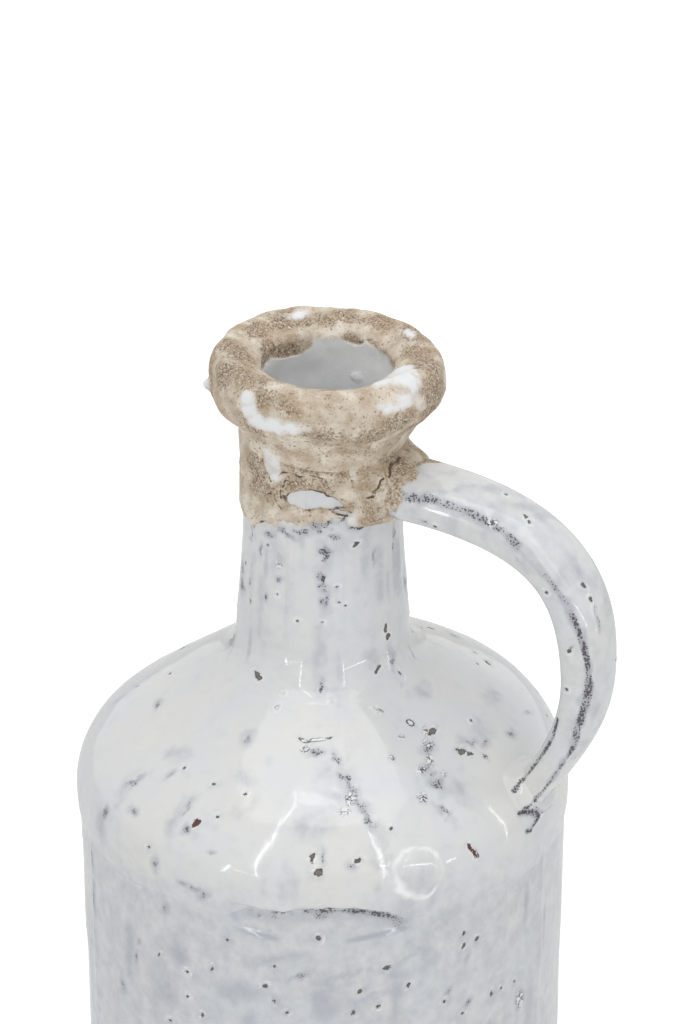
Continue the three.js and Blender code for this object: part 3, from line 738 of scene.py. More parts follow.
neck = turned("neck_tube_glazed", neck_profile, NECK_STEPS)
points, outward = surface_of(neck)
sides = angles_of(points)
heights = points[:, 2]
outside = (outward[:, :2] * points[:, :2]).sum(axis=1) > 0
sunk, fields = glaze_faults(points, outward, NECK_MARKS)
on_dome = smooth(np.hypot(points[:, 0], points[:, 1]), 36, 43)
neck_thin = 0.5 * streaks(points * (1.5, 1.5, 1)) + 0.12
fields["thin"] = np.maximum(fields["thin"], neck_thin * (1 - on_dome) + 0.4 * streaks(points) * on_dome)
fields["thin"] = np.where(outside, fields["thin"], 0.3 * lumps(points, 8, 41))
# Inside the bore the glaze is painted whiter, a painted light that lifts the bore out of its shade.
fields["pool_and_painted_light"] = np.where(outside, fields["pool_and_painted_light"], 0.8)
points[:, 2] += swell(points) * outside
ridges = sum(bell(sides, side, 2.2) for side in (-84, -47, -118, 10, 70, -180))
ridges *= 0.4 * smooth(heights, 262, 275) * (1 - smooth(heights, 300, 315))
shift = np.where(outside, hand_relief(points) + ridges - sunk, 0.15 * lumps(points, 5, 42))
points += outward * shift[:, None]
settle(neck, points, glaze, "white_glaze", "neck_tube", **fields)

# The lip: a thick coil rolled outwards, leaning towards the handle and sagging to its left.
# Sandy clay slip was daubed over it after glazing: a cream skin that has worn through to brown grit.
LIP_SEAT = (28.6, 336.4)
LIP_FOOT = 35.6
LIP_WIDEST = 45.6
LIP_BELLY = 364.81
LIP_CREST = 40.2
LIP_TOP = 376.83
BORE_EDGE = 369.83
LIP_LEAN = 2.2
LIP_LEAN_SIDE = 30
LIP_SAG = math.tan(math.radians(2.2))
LIP_SAG_SIDE = 75
LIP_TILT = math.tan(math.radians(4.2))
LIP_TILT_SIDE = 120
LIP_STEPS = 512
ROLL_RADIUS = 36.5
ROLL_HEIGHT = 365


def around_axis(degrees, radius, height):
    """A place at a side, a radius and a height."""
    return radius * math.cos(math.radians(degrees)), radius * math.sin(math.radians(degrees)), height


def lip_place(degrees, roll):
    """A place on the lip, from its side and how far round the roll it is: 0 outwards, 90 on top."""
    lean = LIP_LEAN * math.cos(math.radians(degrees - LIP_LEAN_SIDE))
    radius = ROLL_RADIUS + lean + 9 * math.cos(math.radians(roll))
    drop = radius * LIP_SAG * math.cos(math.radians(degrees - LIP_SAG_SIDE))
    drop -= radius * LIP_TILT * math.cos(math.radians(degrees - LIP_TILT_SIDE))
    return around_axis(degrees, radius, ROLL_HEIGHT - drop + 10 * math.sin(math.radians(roll)))


def patches(points, outward, find, rows):
    """How deep in any patch each point is, in mm; a row is two numbers to find it, length, width, turn."""
    deepest = np.full(len(points), -9.0)
    for side, level, length, width, *turn in rows:
        middle = int(np.argmin(((points - find(side, level)) ** 2).sum(axis=1)))
        out = outward[middle]
        offset = points - points[middle]
        depth = (1 - ellipse(offset, out, length, width, *turn)) * min(length, width) / 2
        depth = np.where(np.abs(offset @ out) < max(length, width), depth, -9)
        deepest = np.maximum(deepest, depth)
    return deepest


def gritty_relief(points, worn):
    """Height of the sandy coat: lumpy all over, and gritty and lower where its skin is worn away."""
    lumpy = 0.3 * lumps(points, 7, 52) + 0.18 * lumps(points, 3, 51) + 0.05 * lumps(points, 1.3, 55)
    grit = 0.14 * lumps(points, 1.1, 53) + 0.18 * lumps(points, 2.1, 54)
    return lumpy + worn * grit + 0.3 * (1 - worn)


def worn_skin(points, outward, find, rows):
    """How far the skin is worn off, from 0 to 1: in ragged patches, and a little here and there."""
    depth = np.maximum(patches(points, outward, find, rows), -3.0)
    depth += 1.8 * lumps(points, 6, 61) + 1.5 * lumps(points, 2.6, 62) + 1.2 * lumps(points, 14, 64)
    return smooth(depth, -3.2, 2.8)


def along_line(points, line):
    """How far each point is from a line of points, in mm."""
    nearest = np.full(len(points), np.inf)
    for start, end in itertools.pairwise(np.array(line, float)):
        step = end - start
        share = np.clip((points - start) @ step / (step @ step), 0, 1)
        nearest = np.minimum(nearest, np.linalg.norm(points - start - share[:, None] * step, axis=1))
    return nearest


def cracks_along(points, lines, stray, width):
    """How deep the fine cracks along some crooked lines are, 1 being their middle."""
    strays = stray * np.stack([lumps(points, 2.4, seed) for seed in (75, 76, 77)], axis=1)
    return sum(bell(along_line(points + strays, line), 0, width) for line in lines)


# Sandy clay slip, fired on without glaze: dry and chalky, cream where its skin is whole and
# brown and granular where that has worn off, with milky runs of the glaze left on it.
crust, tree, shader, place = new_material("sandy_clay_slip")
worn, milk, crack = (
    node(tree, "Attribute", attribute_name=name).outputs["Fac"] for name in ("worn", "milk", "crack")
)
cloud, blush, grain, crumb = (
    node(
        tree, "TexNoise",
        {"Vector": place, "Scale": 1 / (size * MM), "Detail": detail, "Roughness": roughness},
    )
    for size, detail, roughness in ((7, 6.0, 0.5), (17, 3.0, 0.5), (0.8, 3.0, 0.7), (0.75, 2.0, 0.5))
)
sand = node(tree, "TexVoronoi", {"Vector": place, "Scale": 1 / (0.85 * MM)})
toned, warmth, shade, bright, sunken, split, run = (
    node(tree, "Math", {0: value, 1: factor, 2: added}, operation="MULTIPLY_ADD")
    for value, factor, added in (
        (worn, 0.26, cloud), (worn, 0.1, blush), (worn, 0.28, sand.outputs["Color"]), (worn, 0.07, grain),
        (worn, 0.04, crumb), (crumb, 0.8, crack), (grain, 2.2, milk),
    )
)
dusty = node(tree, "Math", {0: grain, 1: 0.4, 2: toned}, operation="MULTIPLY_ADD")
tint, grains, lights, hollow, pits, cracked, milked = (
    node(tree, "MapRange", {"Value": value, "From Min": low, "From Max": high})
    for value, low, high in (
        (dusty, 0.57, 0.9), (shade, 0.78, 0.94), (bright, 0.62, 0.7), (sand, 0.56, 0.76),
        (sunken, 0.67, 0.71), (split, 0.72, 1.02), (run, 0.4, 3.0),
    )
)
warmed = node(tree, "MapRange", {"Value": warmth, "From Min": 0.52, "From Max": 0.78, "To Max": 0.5})
gaps, domed = (
    node(tree, "Math", {0: value, 1: worn}, operation="MULTIPLY") for value in (hollow, sand)
)
dark = node(tree, "Math", {0: gaps, 1: pits}, operation="MAXIMUM")
# The milk is whiter than the glaze on the body: a painted light that lifts the shade in the mouth.
coat, milk_and_painted_light = (
    node(tree, "Mix", {0: amount, 6: one, 7: other}, data_type="RGBA")
    for amount, one, other in ((tint, "#E8DFD0", "#BCAA92"), (cloud, "#F8F9F9", "#E9EBED"))
)
# The layers, from below: peach blushes; brown grains of sand, bright ones, and the dark gaps between
# them; cracks, and the runs of glaze and the glaze in the mouth, in a white raised as painted light.
for amount, over in (
    (warmed, "#BFA287"), (grains, "#AA937B"), (lights, "#F2EBE0"), (dark, "#7C6E5F"), (cracked, "#635446"),
    (milked, milk_and_painted_light),
):
    coat = node(tree, "Mix", {0: amount, 6: coat, 7: over}, data_type="RGBA")
dullness = node(tree, "MapRange", {"Value": milked, "To Min": 0.93, "To Max": 0.32})
fine = node(tree, "Bump", {"Height": crumb, "Distance": 0.25 * MM, "Strength": 0.6})
coarse = node(
    tree, "Bump", {"Height": domed, "Distance": 0.4 * MM, "Strength": 0.9, "Normal": fine}, invert=True,
)
feed(tree, shader, {"Base Color": coat, "Roughness": dullness, "Normal": coarse})

lip_profile = outline(
    LIP_SEAT,
    (1.5, (32.4, 336.6)),
    (0.45, (33.4, 341)),
    (0.45, (34.4, 346), (37.6, 351)),
    (0.45, (42, 354.6), (LIP_WIDEST, 357.5), (LIP_WIDEST, LIP_BELLY)),
    (0.45, (LIP_WIDEST, 370.8), (43.6, LIP_TOP), (LIP_CREST, LIP_TOP)),
    (0.45, (35.2, LIP_TOP), (BORE, 372.63), (BORE, BORE_EDGE)),
    (0.55, (26.1, 346)),
    (0.9, (27.2, 340.5)),
    (2, LIP_SEAT),
)
lip = turned("lip_ring_gritty", lip_profile, LIP_STEPS)
points, outward = surface_of(lip)
sides = angles_of(points)
around = np.radians(sides)
radii = np.hypot(points[:, 0], points[:, 1])
heights = points[:, 2]
inside = (outward[:, :2] * points[:, :2]).sum(axis=1) < 0
free = smooth(heights, 353.33, LIP_BELLY)
wave = 0.7 * (np.sin(2 * around + 1) + 0.6 * np.sin(5 * around))
leant = np.maximum(free, smooth(radii, 29.7, LIP_FOOT) * smooth(heights, 337, 349))
moved = free * wave * smooth(radii, BORE, LIP_WIDEST)
moved += leant * LIP_LEAN * np.cos(around - math.radians(LIP_LEAN_SIDE))
points[:, 2] -= free * radii * LIP_SAG * np.cos(around - math.radians(LIP_SAG_SIDE))
points[:, 2] += free * radii * LIP_TILT * np.cos(around - math.radians(LIP_TILT_SIDE))
points[:, :2] *= ((radii + moved) / radii)[:, None]
# Patches on the lip: side, how far round the roll, length and width.
BROWN = [
    (-146, 96, 17, 12), (-150, 70, 12, 9), (-124, 48, 12, 10), (149, 111, 12, 9), (134, 118, 10, 7),
    (118, 120, 10, 6), (174, 111, 12, 8), (105, 98, 12, 8), (79, 89, 14, 9), (58, 75, 14, 9),
    (34, 101, 12, 8), (15, 66, 14, 12), (6, 27, 16, 13), (0, -21, 14, 11), (-7, -48, 12, 9),
    (-92, 42, 10, 6), (-79, 40, 9, 5), (-20, -10, 14, 8), (-62, -22, 16, 6), (-100, -50, 10, 6),
    (-36, -40, 12, 6), (-110, 70, 16, 6), (90, 0, 20, 12), (150, 168, 15, 7), (94, 151, 7, 4),
    (-180, 10, 22, 12), (140, -20, 18, 14), (50, -5, 16, 10), (-60, 108, 14, 4), (-95, 100, 12, 4),
    (-140, 0, 12, 8),
]
MILK = [
    (-102, 30, 8, 9), (-99, 6, 9, 9), (-95, -14, 12, 9), (-85, -13, 15, 9), (-75, -8, 15, 7),
    (4, 116, 13, 12), (-4, 92, 14, 13), (-9, 66, 12, 11), (-16, 44, 11, 8), (-26, 34, 12, 6),
    (-20, 98, 12, 8), (137, 95, 12, 6), (55, 84, 9, 5), (-140, -2, 5, 5), (150, 10, 12, 14),
    (95, -30, 14, 10), (30, -20, 10, 16),
]
worn = worn_skin(points, outward, lip_place, BROWN)
milk = patches(points, outward, lip_place, MILK)
milk += 1.1 * lumps(points, 4.2, 63) + 0.9 * lumps(points, 2, 66) - 0.4
# Inside the mouth the lip takes the milk, whose whiter colour is painted light against the shade there.
throat = 366.6 - 4.0 * np.cos(around - math.radians(-60)) - heights
throat += 2.2 * lumps(points, 9, 65) + 1.2 * lumps(points, 3, 67)
daubed = patches(points, outward, lip_place, [(150, 168, 16, 7), (94, 151, 8, 4)])
throat -= 8 * smooth(daubed, -1.5, 1.5)
milk = np.where(inside, np.maximum(milk, np.minimum(throat, 4)), milk)
glassy = smooth(milk, -0.6, 1.2)
worn *= 1 - glassy
striae = 0.14 * np.sin(heights * 2.2 + 1.2 * lumps(points, 12, 67)) * smooth(sides, -92, -80)
striae *= (1 - smooth(sides, -46, -36)) * smooth(heights, 362, 366) * ~inside
bead = 2.0 * (1 - smooth(np.linalg.norm(points - lip_place(-141, -4), axis=1), 0.8, 3.4))
relief = gritty_relief(points, worn) * (1 - glassy) + glassy * (0.5 + 0.2 * lumps(points, 4, 68))
relief += striae + bead
relief += (0.8 * lumps(points, 15, 69) + 0.4 * lumps(points, 8, 71)) * smooth(heights, 345, 352)
# Deep in the mouth the wall is smoother, with one small blob on it.
from_blob = np.linalg.norm(points - (0.5, 26.5, 355), axis=1) + 0.9 * lumps(points, 2.6, 78)
bore_relief = 0.2 * lumps(points, 6, 70) + 0.6 * (1 - smooth(from_blob, 0.6, 3.2))
deep = inside * (1 - smooth(heights, 356, 368))
points += outward * (relief * (1 - deep) + bore_relief * deep)[:, None]
lip_crack = [lip_place(-70, -62), lip_place(-60, -58), lip_place(-50, -66)]
cracks = cracks_along(points, [lip_crack], 0.8, 0.38)
settle(lip, points, crust, "gritty_render", "lip_ring", worn=worn, milk=milk, crack=cracks)

# The render: the same sandy slip, trowelled thinly round the top of the neck over the glaze.
# Its lower edge is ragged, a flake has come away at the front, and glaze has dripped over it.
RENDER_RADIUS = 33.8
RENDER_INSIDE = 29.5
RENDER_FOOT = 304.6
RENDER_TOP = 345.7
RENDER_STEPS = 640
RAGGED_EDGE = [
    (-240, 311), (-215, 308), (-190, 312), (-165, 309), (-145, 310), (-126, 309), (-118, 308), (-110, 312),
    (-105, 313), (-96, 312.4), (-88, 315), (-81, 315), (-76, 313.6), (-70, 316), (-65, 317.6), (-58, 317.2),
    (-47, 319), (-40, 320.5), (-34, 316), (-24, 316.4), (-12, 312), (-5, 314), (20, 310), (50, 313),
    (80, 309), (105, 313), (120, 311),
]
render_profile = outline(
    (RENDER_RADIUS, RENDER_FOOT),
    (0.36, (RENDER_RADIUS, RENDER_TOP)),
    (2, (RENDER_INSIDE, RENDER_TOP)),
    (8, (RENDER_INSIDE, RENDER_FOOT)),
    (2, (RENDER_RADIUS, RENDER_FOOT)),
)
# Patches on the render: side, height, length, width and, for the lost flake, turn.
FLAKE = [
    (-71, 326.2, 17, 8.4, 4), (-58, 325.6, 14, 5, -8), (-51, 324.6, 9, 2.6, -10), (-44, 320.6, 9, 2.4, -20),
]
BROWN_NECK = [
    (-116, 336, 6, 18), (-110, 341, 9, 8), (-107, 331, 8, 9), (-99, 327, 9, 5), (-41, 341, 14, 7),
    (-55, 340, 12, 7), (-58, 334, 9, 6), (-30, 336, 8, 8), (-22, 338, 8, 6), (-86, 340, 12, 5),
    (-70, 342, 28, 7), (-78, 334, 9, 7), (-66, 330, 8, 4), (-30, 322, 7, 5), (60, 330, 24, 16),
    (150, 322, 24, 14), (-160, 334, 20, 14), (100, 318, 20, 8), (-190, 342, 22, 8),
]
MILK_NECK = [(-97, 345, 11, 8), (-96, 340, 9, 10), (-94, 335.4, 6, 7), (130, 338, 8, 12), (-170, 324, 8, 10)]
CRACK_LINES = [
    [(-109, 344), (-104, 341), (-101, 336), (-98, 332), (-94, 333)],
    [(-91, 334), (-88, 337), (-83, 338), (-76, 336.4), (-68, 337.6), (-60, 336)],
    [(-84, 338), (-84, 343), (-85, 346)],
    [(-84, 342), (-78, 344.6), (-72, 346)],
    [(-90, 326), (-89, 330), (-85, 333.4), (-79, 334)],
    [(-104, 324), (-98, 327), (-92, 323), (-88, 320.6)],
    [(-40, 334), (-34, 337), (-27, 342)],
]


def neck_place(degrees, height):
    """A place on the outside of the render."""
    return around_axis(degrees, RENDER_RADIUS, height)


render = turned("neck_render_gritty", render_profile, RENDER_STEPS)
points, _ = surface_of(render)
sides = angles_of(points)
heights = points[:, 2]
radii = np.hypot(points[:, 0], points[:, 1])
outward = points * (1, 1, 0) / radii[:, None]
ragged = 1.0 * lumps(points, 3.4, 71) + 0.8 * lumps(points, 1.5, 72)
cover = heights - np.interp(sides, *zip(*RAGGED_EDGE)) + ragged
cover = np.minimum(cover, -patches(points, outward, neck_place, FLAKE) + 0.45 * ragged)
worn = worn_skin(points, outward, neck_place, BROWN_NECK)
milk = np.minimum(patches(points, outward, neck_place, MILK_NECK), 1.0) + 0.7 * lumps(points, 3.2, 63)
glassy = smooth(milk, -0.6, 0.8)
worn *= (1 - glassy) * (0.55 + 0.45 * smooth(heights, 320, 334))
lines = [[neck_place(*at) for at in line] for line in CRACK_LINES]
cracks = np.minimum(cracks_along(points, lines, 0.6, 0.34), 1)
border = bell(cover, 0.25, 0.4) * smooth(lumps(points, 6, 73), -0.3, 0.5)
folds = 0.35 * np.sin(heights * 1.5 + 0.15 * sides + 1.2 * lumps(points, 9, 74)) * smooth(heights, 334, 338)
folds *= smooth(sides, -92, -84) * (1 - smooth(sides, -50, -40))
relief = -3.4 + 2.3 * smooth(cover, -0.5, 0.25) + 0.6 * smooth(cover, 0, 1.8)
relief += gritty_relief(points, worn) * (1 - glassy) + glassy * 0.75 + folds - 0.5 * cracks
relief += hand_relief(points) * (1 - smooth(heights, 330, 342)) - 0.25 * smooth(heights, 341, 345)
points += outward * np.where(radii > RENDER_RADIUS - 0.7, relief, 0)[:, None]
cracks = np.maximum(cracks, 0.8 * border)
settle(render, points, crust, "gritty_render", "neck_render", worn=worn, milk=milk, crack=cracks)

# The strap handle: pulled from a lump of clay, widest at the neck, flattened and bent over while soft.
# Its glaze ran off the outer corners, which are rubbed down to dark speckle.
HANDLE_REACH = 120.3
ROOT_HEIGHT = 326.23
BELLY_HEIGHT = 264.23
TAIL_POINT = (92.3, 197.9)
STRAP_ROWS = 400
STRAP_SIDES = 150
STRAP_ROOT = (36, 19.5)
STRAP_BELLY = (28, 19.5)
STRAP_TAIL = (17, 13.5)
SQUARENESS = 0.75
NEAR_RIDGE = [
    (41, -18.2, 331), (45.5, -17.2, 330.7), (57.8, -15.3, 331.7), (74.5, -14.4, 329.5), (88.9, -14.2, 324.7),
    (98.5, -14.7, 318.6), (110.7, -14.3, 307.3), (117.4, -13.6, 299.6), (122.2, -12.9, 288.4),
    (125.8, -11.8, 275.8), (126.7, -11.1, 264.9), (123.8, -11.6, 252.5), (121.5, -10.9, 244),
    (119.4, -9.7, 235.8), (114.5, -9.1, 227), (108, -8.2, 215.8), (104.5, -7.9, 210.2), (101.4, -8.7, 206),
]
FAR_RIDGE = [
    (45, 16.5, 330.5), (74, 14, 329), (98, 13, 318), (117, 13, 299), (126, 11, 270), (121, 10, 244),
    (106, 8, 210),
]
INNER_EDGE = [
    (112.2, -10.1, 246.5), (110.2, -10, 237.9), (107.3, -9.2, 232.3), (104.4, -8.7, 227.2),
    (101.6, -8.1, 222.6), (99, -7.3, 218.3), (96.6, -7.2, 214.5), (94.5, -8, 210),
]
STRAP_MARKS = {
    "crater": [
        (84, -14, 327, 3.6, 3.6, 0),
    ],
    "chip": [
        (92.7, -2.4, 327, 2.6, 1.4, 30), (95.4, -4.2, 326, 2, 1.2, 0), (120.1, -5.5, 304.5, 3, 1.6, -40),
        (122.8, -5.5, 299.6, 2.4, 1.6, -50), (112, 10, 306, 3, 2, 20),
    ],
    "speckle": [
        (126, -4.8, 291, 8, 1.2, 90), (123.7, -3.8, 296, 8, 1.4, 80), (118.6, -13, 281, 4, 1.6, 60),
        (56, -19, 322, 5, 3, 0), (107.5, -2, 211, 9, 2, 50), (104.5, -4, 206, 7, 2, 50),
        (70, 16, 322, 8, 2, 0), (122, 12, 262, 3, 10, 0), (41, -17, 320, 5, 4, -60),
    ],
    "pit": [
        (118, -13.7, 280, 2.4, 1.6, 0),
    ],
    "hole": [
        (117, -12.5, 262, 1.7, 1.4, 0), (108, -14, 303, 1.5, 1.3, 0), (60, -18, 320, 1.6, 1.3, 0),
        (80, 4, 329, 1.5, 1.3, 0), (127, 6, 270, 1.5, 1.3, 0), (101, 9, 240, 1.5, 1.3, 0),
    ],
    "cloud": [
        (52, -18, 326, 8, 6, 0), (120, 0, 245, 14, 10, 80), (100, -14, 312, 14, 6, -40),
        (124, -6, 254, 8, 14, 0),
    ],
}
# The strap's middle line, from the neck to the shoulder: x and z.
middle_line = np.concatenate([
    outline(
        (30.2, ROOT_HEIGHT),
        (0.4, (89.0, ROOT_HEIGHT), (HANDLE_REACH, 315.07), (HANDLE_REACH, BELLY_HEIGHT)),
        (0.4, (HANDLE_REACH, 239.0), (105.8, 221.8), TAIL_POINT),
    ),
    [TAIL_POINT],
])
last = len(middle_line) - 1
shape = bmesh.new()
bmesh.ops.create_grid(shape, x_segments=STRAP_ROWS, y_segments=STRAP_SIDES, size=1)
for vert in shape.verts:
    share = (vert.co.x + 1) / 2
    angle = math.pi * (vert.co.y + 1)
    row = min(int(share * last), last - 1)
    here = middle_line[row] + (middle_line[row + 1] - middle_line[row]) * (share * last - row)
    ahead = middle_line[min(row + 4, last)] - middle_line[max(row - 4, 0)]
    ahead /= np.linalg.norm(ahead)
    upper = float(smooth(share, 0, 0.5))
    lower = float(smooth(share, 0.5, 1))
    width, thickness = (
        (root * (1 - upper) + belly * upper) * (1 - lower) + tail * lower
        for root, belly, tail in zip(STRAP_ROOT, STRAP_BELLY, STRAP_TAIL)
    )
    across, out = (
        math.copysign(abs(turn) ** SQUARENESS, turn) * size / 2
        for turn, size in ((math.cos(angle), width), (math.sin(angle), thickness))
    )
    vert.co = (here[0] - ahead[1] * out, across, here[1] + ahead[0] * out)
bmesh.ops.remove_doubles(shape, verts=shape.verts[:], dist=0.001)
bmesh.ops.holes_fill(shape, edges=[edge for edge in shape.edges if edge.is_boundary], sides=0)
bmesh.ops.recalc_face_normals(shape, faces=shape.faces[:])
strap = piece_of("handle_strap_glazed", shape)
points, outward = surface_of(strap)
xs, zs = points[:, 0], points[:, 2]
near, far, inner = (along_line(points, line) for line in (NEAR_RIDGE, FAR_RIDGE, INNER_EDGE))
breadth = 1.25 + 0.7 * lumps(points, 11, 81) - 0.7 * (1 - smooth(zs, 225, 262))
breadth = np.maximum(breadth + 0.5 * (1 - smooth(xs, 70, 100)), 0.5)
rubbed = (1 - smooth(near, breadth * 0.5, breadth * 1.9)) * (1 - 0.8 * bell(xs, 103, 6) * (zs > 300))
rubbed *= np.clip(0.9 + 0.5 * lumps(points, 4, 82) + 0.3 * lumps(points, 2, 87), 0, 1)
rubbed *= 1 + 0.35 * smooth(xs, 116, 122)
rubbed = np.maximum(rubbed, 0.8 * (1 - smooth(far, 1.5, 4 + 1.5 * lumps(points, 11, 83))))
inner_speck = 1.4 * (1 - smooth(inner, 0.4, 1.7)) * np.clip(0.9 + 0.5 * lumps(points, 4, 89), 0, 1)
rubbed = np.maximum(rubbed, inner_speck)
sunk, fields = glaze_faults(points, outward, STRAP_MARKS)
fields["speck"] = np.maximum(fields["speck"], rubbed)
edge_thin = 1 - smooth(np.minimum(near, far) + 1.2 * lumps(points, 5, 88), breadth, breadth * 3)
fields["thin"] = np.maximum(fields["thin"], 0.2 + 0.4 * streaks(points * (1, 1, 2)))
fields["thin"] = np.maximum(fields["thin"], 0.6 * edge_thin)
from_neck = xs + 3.0 * lumps(points, 6, 85) + 1.4 * lumps(points, 2.5, 86) + 0.45 * np.maximum(0, 331 - zs)
fields["sand"] = 0.9 * (1 - smooth(from_neck, 43, 49))
relief = 0.6 * hand_relief(points) + 0.45 * bell(near, 0, 1.6) + 0.3 * bell(far, 0, 2)
relief -= 0.3 * rubbed * (0.5 + 0.6 * lumps(points, 1.9, 84)) + 0.35 * bell(inner, 0, 0.7)
points += outward * (relief - sunk)[:, None]
settle(strap, points, glaze, "white_glaze", "handle_strap", **fields)

# The root wad: a roll of clay thumbed round the strap where it meets the neck, under the sandy slip.
# It is a sheet that follows the neck, and swells where the strap comes through it.
WAD_ACROSS = 26
WAD_UP = 19.5
WAD_DOWN = 13.5
WAD_THICKNESS = 1.5
STRAP_CORNER = 2.67
WAD_CRACK = [(-19.5, 2), (-15.5, 8.5), (-8, 11.6), (-1, 12.4)]


def strap_gap(across, up, width, thickness):
    """How far a point of the plane that cuts across the strap is outside of the strap, in mm."""
    reach = (np.abs(across) * 2 / width) ** STRAP_CORNER + (np.abs(up) * 2 / thickness) ** STRAP_CORNER
    beside = np.maximum(0, np.abs(across) - width / 2) * 0.45
    return (reach ** (1 / STRAP_CORNER) - 1) * np.minimum(width, thickness) / 2 + beside


shape = bmesh.new()
bmesh.ops.create_grid(shape, x_segments=150, y_segments=110, size=1)
for vert in shape.verts:
    up = vert.co.y * (WAD_UP if vert.co.y > 0 else WAD_DOWN)
    vert.co = (RENDER_RADIUS, vert.co.x * WAD_ACROSS, ROOT_HEIGHT + up)
bmesh.ops.recalc_face_normals(shape, faces=shape.faces[:])
root_wad = piece_of("handle_root_wad_gritty", shape)
points, _ = surface_of(root_wad)
across = points[:, 1]
up = points[:, 2] - ROOT_HEIGHT
distance = strap_gap(across, up, *STRAP_ROOT)
fillet = 9.5 * (1 - smooth(distance, -1.5, 8.5 + 2.2 * lumps(points, 12, 91))) ** 1.6
rim = np.maximum(np.abs(across) / WAD_ACROSS, np.where(up > 0, up / WAD_UP, -up / WAD_DOWN))
rim += 0.12 * lumps(points, 4, 93) + 0.05 * lumps(points, 1.8, 94)
raised = fillet * (1 - 0.9 * smooth(rim, 0.7, 0.98)) - 2.2 * smooth(rim, 0.84, 1.0) - 0.5
wear = 1.3 * lumps(points, 6, 61) + 0.9 * lumps(points, 2.6, 62)
wear += 1.6 * bell(across, -4, 9) * bell(up, 12, 5) + 1.4 * bell(across, -17, 4) * bell(up, -6, 6)
worn = smooth(wear, -0.9, 2.6)
line = [(RENDER_RADIUS, y, ROOT_HEIGHT + z) for y, z in WAD_CRACK]
cracks = cracks_along(points, [line], 0.6, 0.42)
reach = RENDER_RADIUS + raised + gritty_relief(points, worn) - 0.5 * cracks
angle = across / RENDER_RADIUS
points = np.stack([reach * np.cos(angle), reach * np.sin(angle), points[:, 2]], axis=1)
milk = -1.2 + 1.2 * lumps(points, 4, 92) + 1.4 * smooth(-across, 16, 24) * smooth(-up, 0, 8)
settle(
    root_wad, points, crust, "gritty_render", "handle_root_wad", WAD_THICKNESS,
    worn=worn, milk=milk, crack=cracks,
)

# The tail wad: a smaller one, thumbed flat round the strap's thin end on the shoulder, and glazed over.
# A curl and a short nick were left in it by the thumb, and two dark lines run on from the strap.
TAIL_ACROSS = 19
TAIL_UP = 17
TAIL_HEIGHT = 204.5
CURL_LINE = [
    (0, -12.8, -4.6), (0, -9.4, -5.6), (0, -6.8, -8), (0, -5.8, -11), (0, -8, -13), (0, -11.4, -12.4),
]
NICK_LINE = [(0, -15.6, 1.6), (0, -15.2, 6.6)]
STRAP_LINES = [
    [(98, -7.4, 216.5), (95.9, -8.8, 213.2), (94.5, -11.2, 210.3)],
    [(104.5, -7.9, 210.2), (101.4, -8.7, 206), (99, -10.9, 202.8)],
]
outside_run = run_along(shoulder_outside)


def on_shoulder(run):
    """The radius and height at a distance along the shoulder's outside."""
    return (np.interp(run, outside_run, axis) for axis in shoulder_outside.T)


shape = bmesh.new()
bmesh.ops.create_grid(shape, x_segments=110, y_segments=100, size=1)
for vert in shape.verts:
    vert.co = (0, vert.co.x * TAIL_ACROSS, vert.co.y * TAIL_UP)
tail_wad = piece_of("handle_tail_wad_glazed", shape)
flat, _ = surface_of(tail_wad)
across, up = flat[:, 1], flat[:, 2]
run = float(np.interp(TAIL_HEIGHT, shoulder_outside[:, 1], outside_run)) + up
radius, height = on_shoulder(run)
radius_above, height_above = on_shoulder(run + 0.6)
radius_below, height_below = on_shoulder(run - 0.6)
lean = np.stack([height_above - height_below, radius_below - radius_above])
lean /= np.hypot(*lean)
side = across / radius
base = np.stack([radius * np.cos(side), radius * np.sin(side), height], axis=1)
distance = strap_gap(across, up, STRAP_TAIL[0] + 1, STRAP_TAIL[1] + 2)
curl = along_line(flat, CURL_LINE) + 0.3 * lumps(flat, 2, 98)
nick = along_line(flat, NICK_LINE)
rim = np.maximum(np.abs(across) / TAIL_ACROSS, np.abs(up) / TAIL_UP)
lift = 6.5 * (1 - smooth(distance, -1.0, 6.0 + 1.5 * lumps(flat, 9, 95))) ** 1.6
lift += 0.9 * bell(across, -9.5, 4.2) * bell(up, -1, 6) - 1.6 * smooth(rim, 0.8, 1.0) - 0.2
lift += 0.12 * lumps(flat, 5, 96) + shoulder_shift(base)[0] + 0.8 * bell(curl, 0, 1.1)
lifted = radius + lift * lean[0]
points = np.stack([lifted * np.cos(side), lifted * np.sin(side), height + lift * lean[1]], axis=1)
points[:, 2] += swell(base)
seam = bell(distance, 0.4, 0.7) * smooth(-up, -2, 6)
strap_lines = np.minimum(*(along_line(points, line) for line in STRAP_LINES))
speck = np.max([
    1.4 * bell(curl, 0, 1.0), 1.2 * bell(nick, 0, 0.9), 0.75 * seam,
    1.2 * (1 - smooth(strap_lines, 0.4, 1.8)),
], axis=0)
settle(
    tail_wad, points, glaze, "white_glaze", "handle_tail_wad", WAD_THICKNESS,
    thin=0.4 * streaks(points) + 0.5 * bell(curl, 0, 2.2),
    speck=speck,
    bare=np.minimum(np.minimum(WELL_AWAY, curl - 0.1 + 0.6 * lumps(flat, 2, 97)), nick - 0.45),
    ring=np.full(len(points), WELL_AWAY),
    **{name: np.zeros(len(points)) for name in ("rust", "loops", "sand")},
)

# The studio: a pale floor, a white backdrop that only the eye and reflections see, one wide soft
# panel overhead, and a window-like frame of narrow strips that the wet-looking glaze reflects.
FLOOR_RADIUS = 6
AMBIENT = 0.56
shape = bmesh.new()
bmesh.ops.create_circle(shape, cap_ends=True, segments=96, radius=FLOOR_RADIUS)
floor = piece_of("studio_floor", shape)
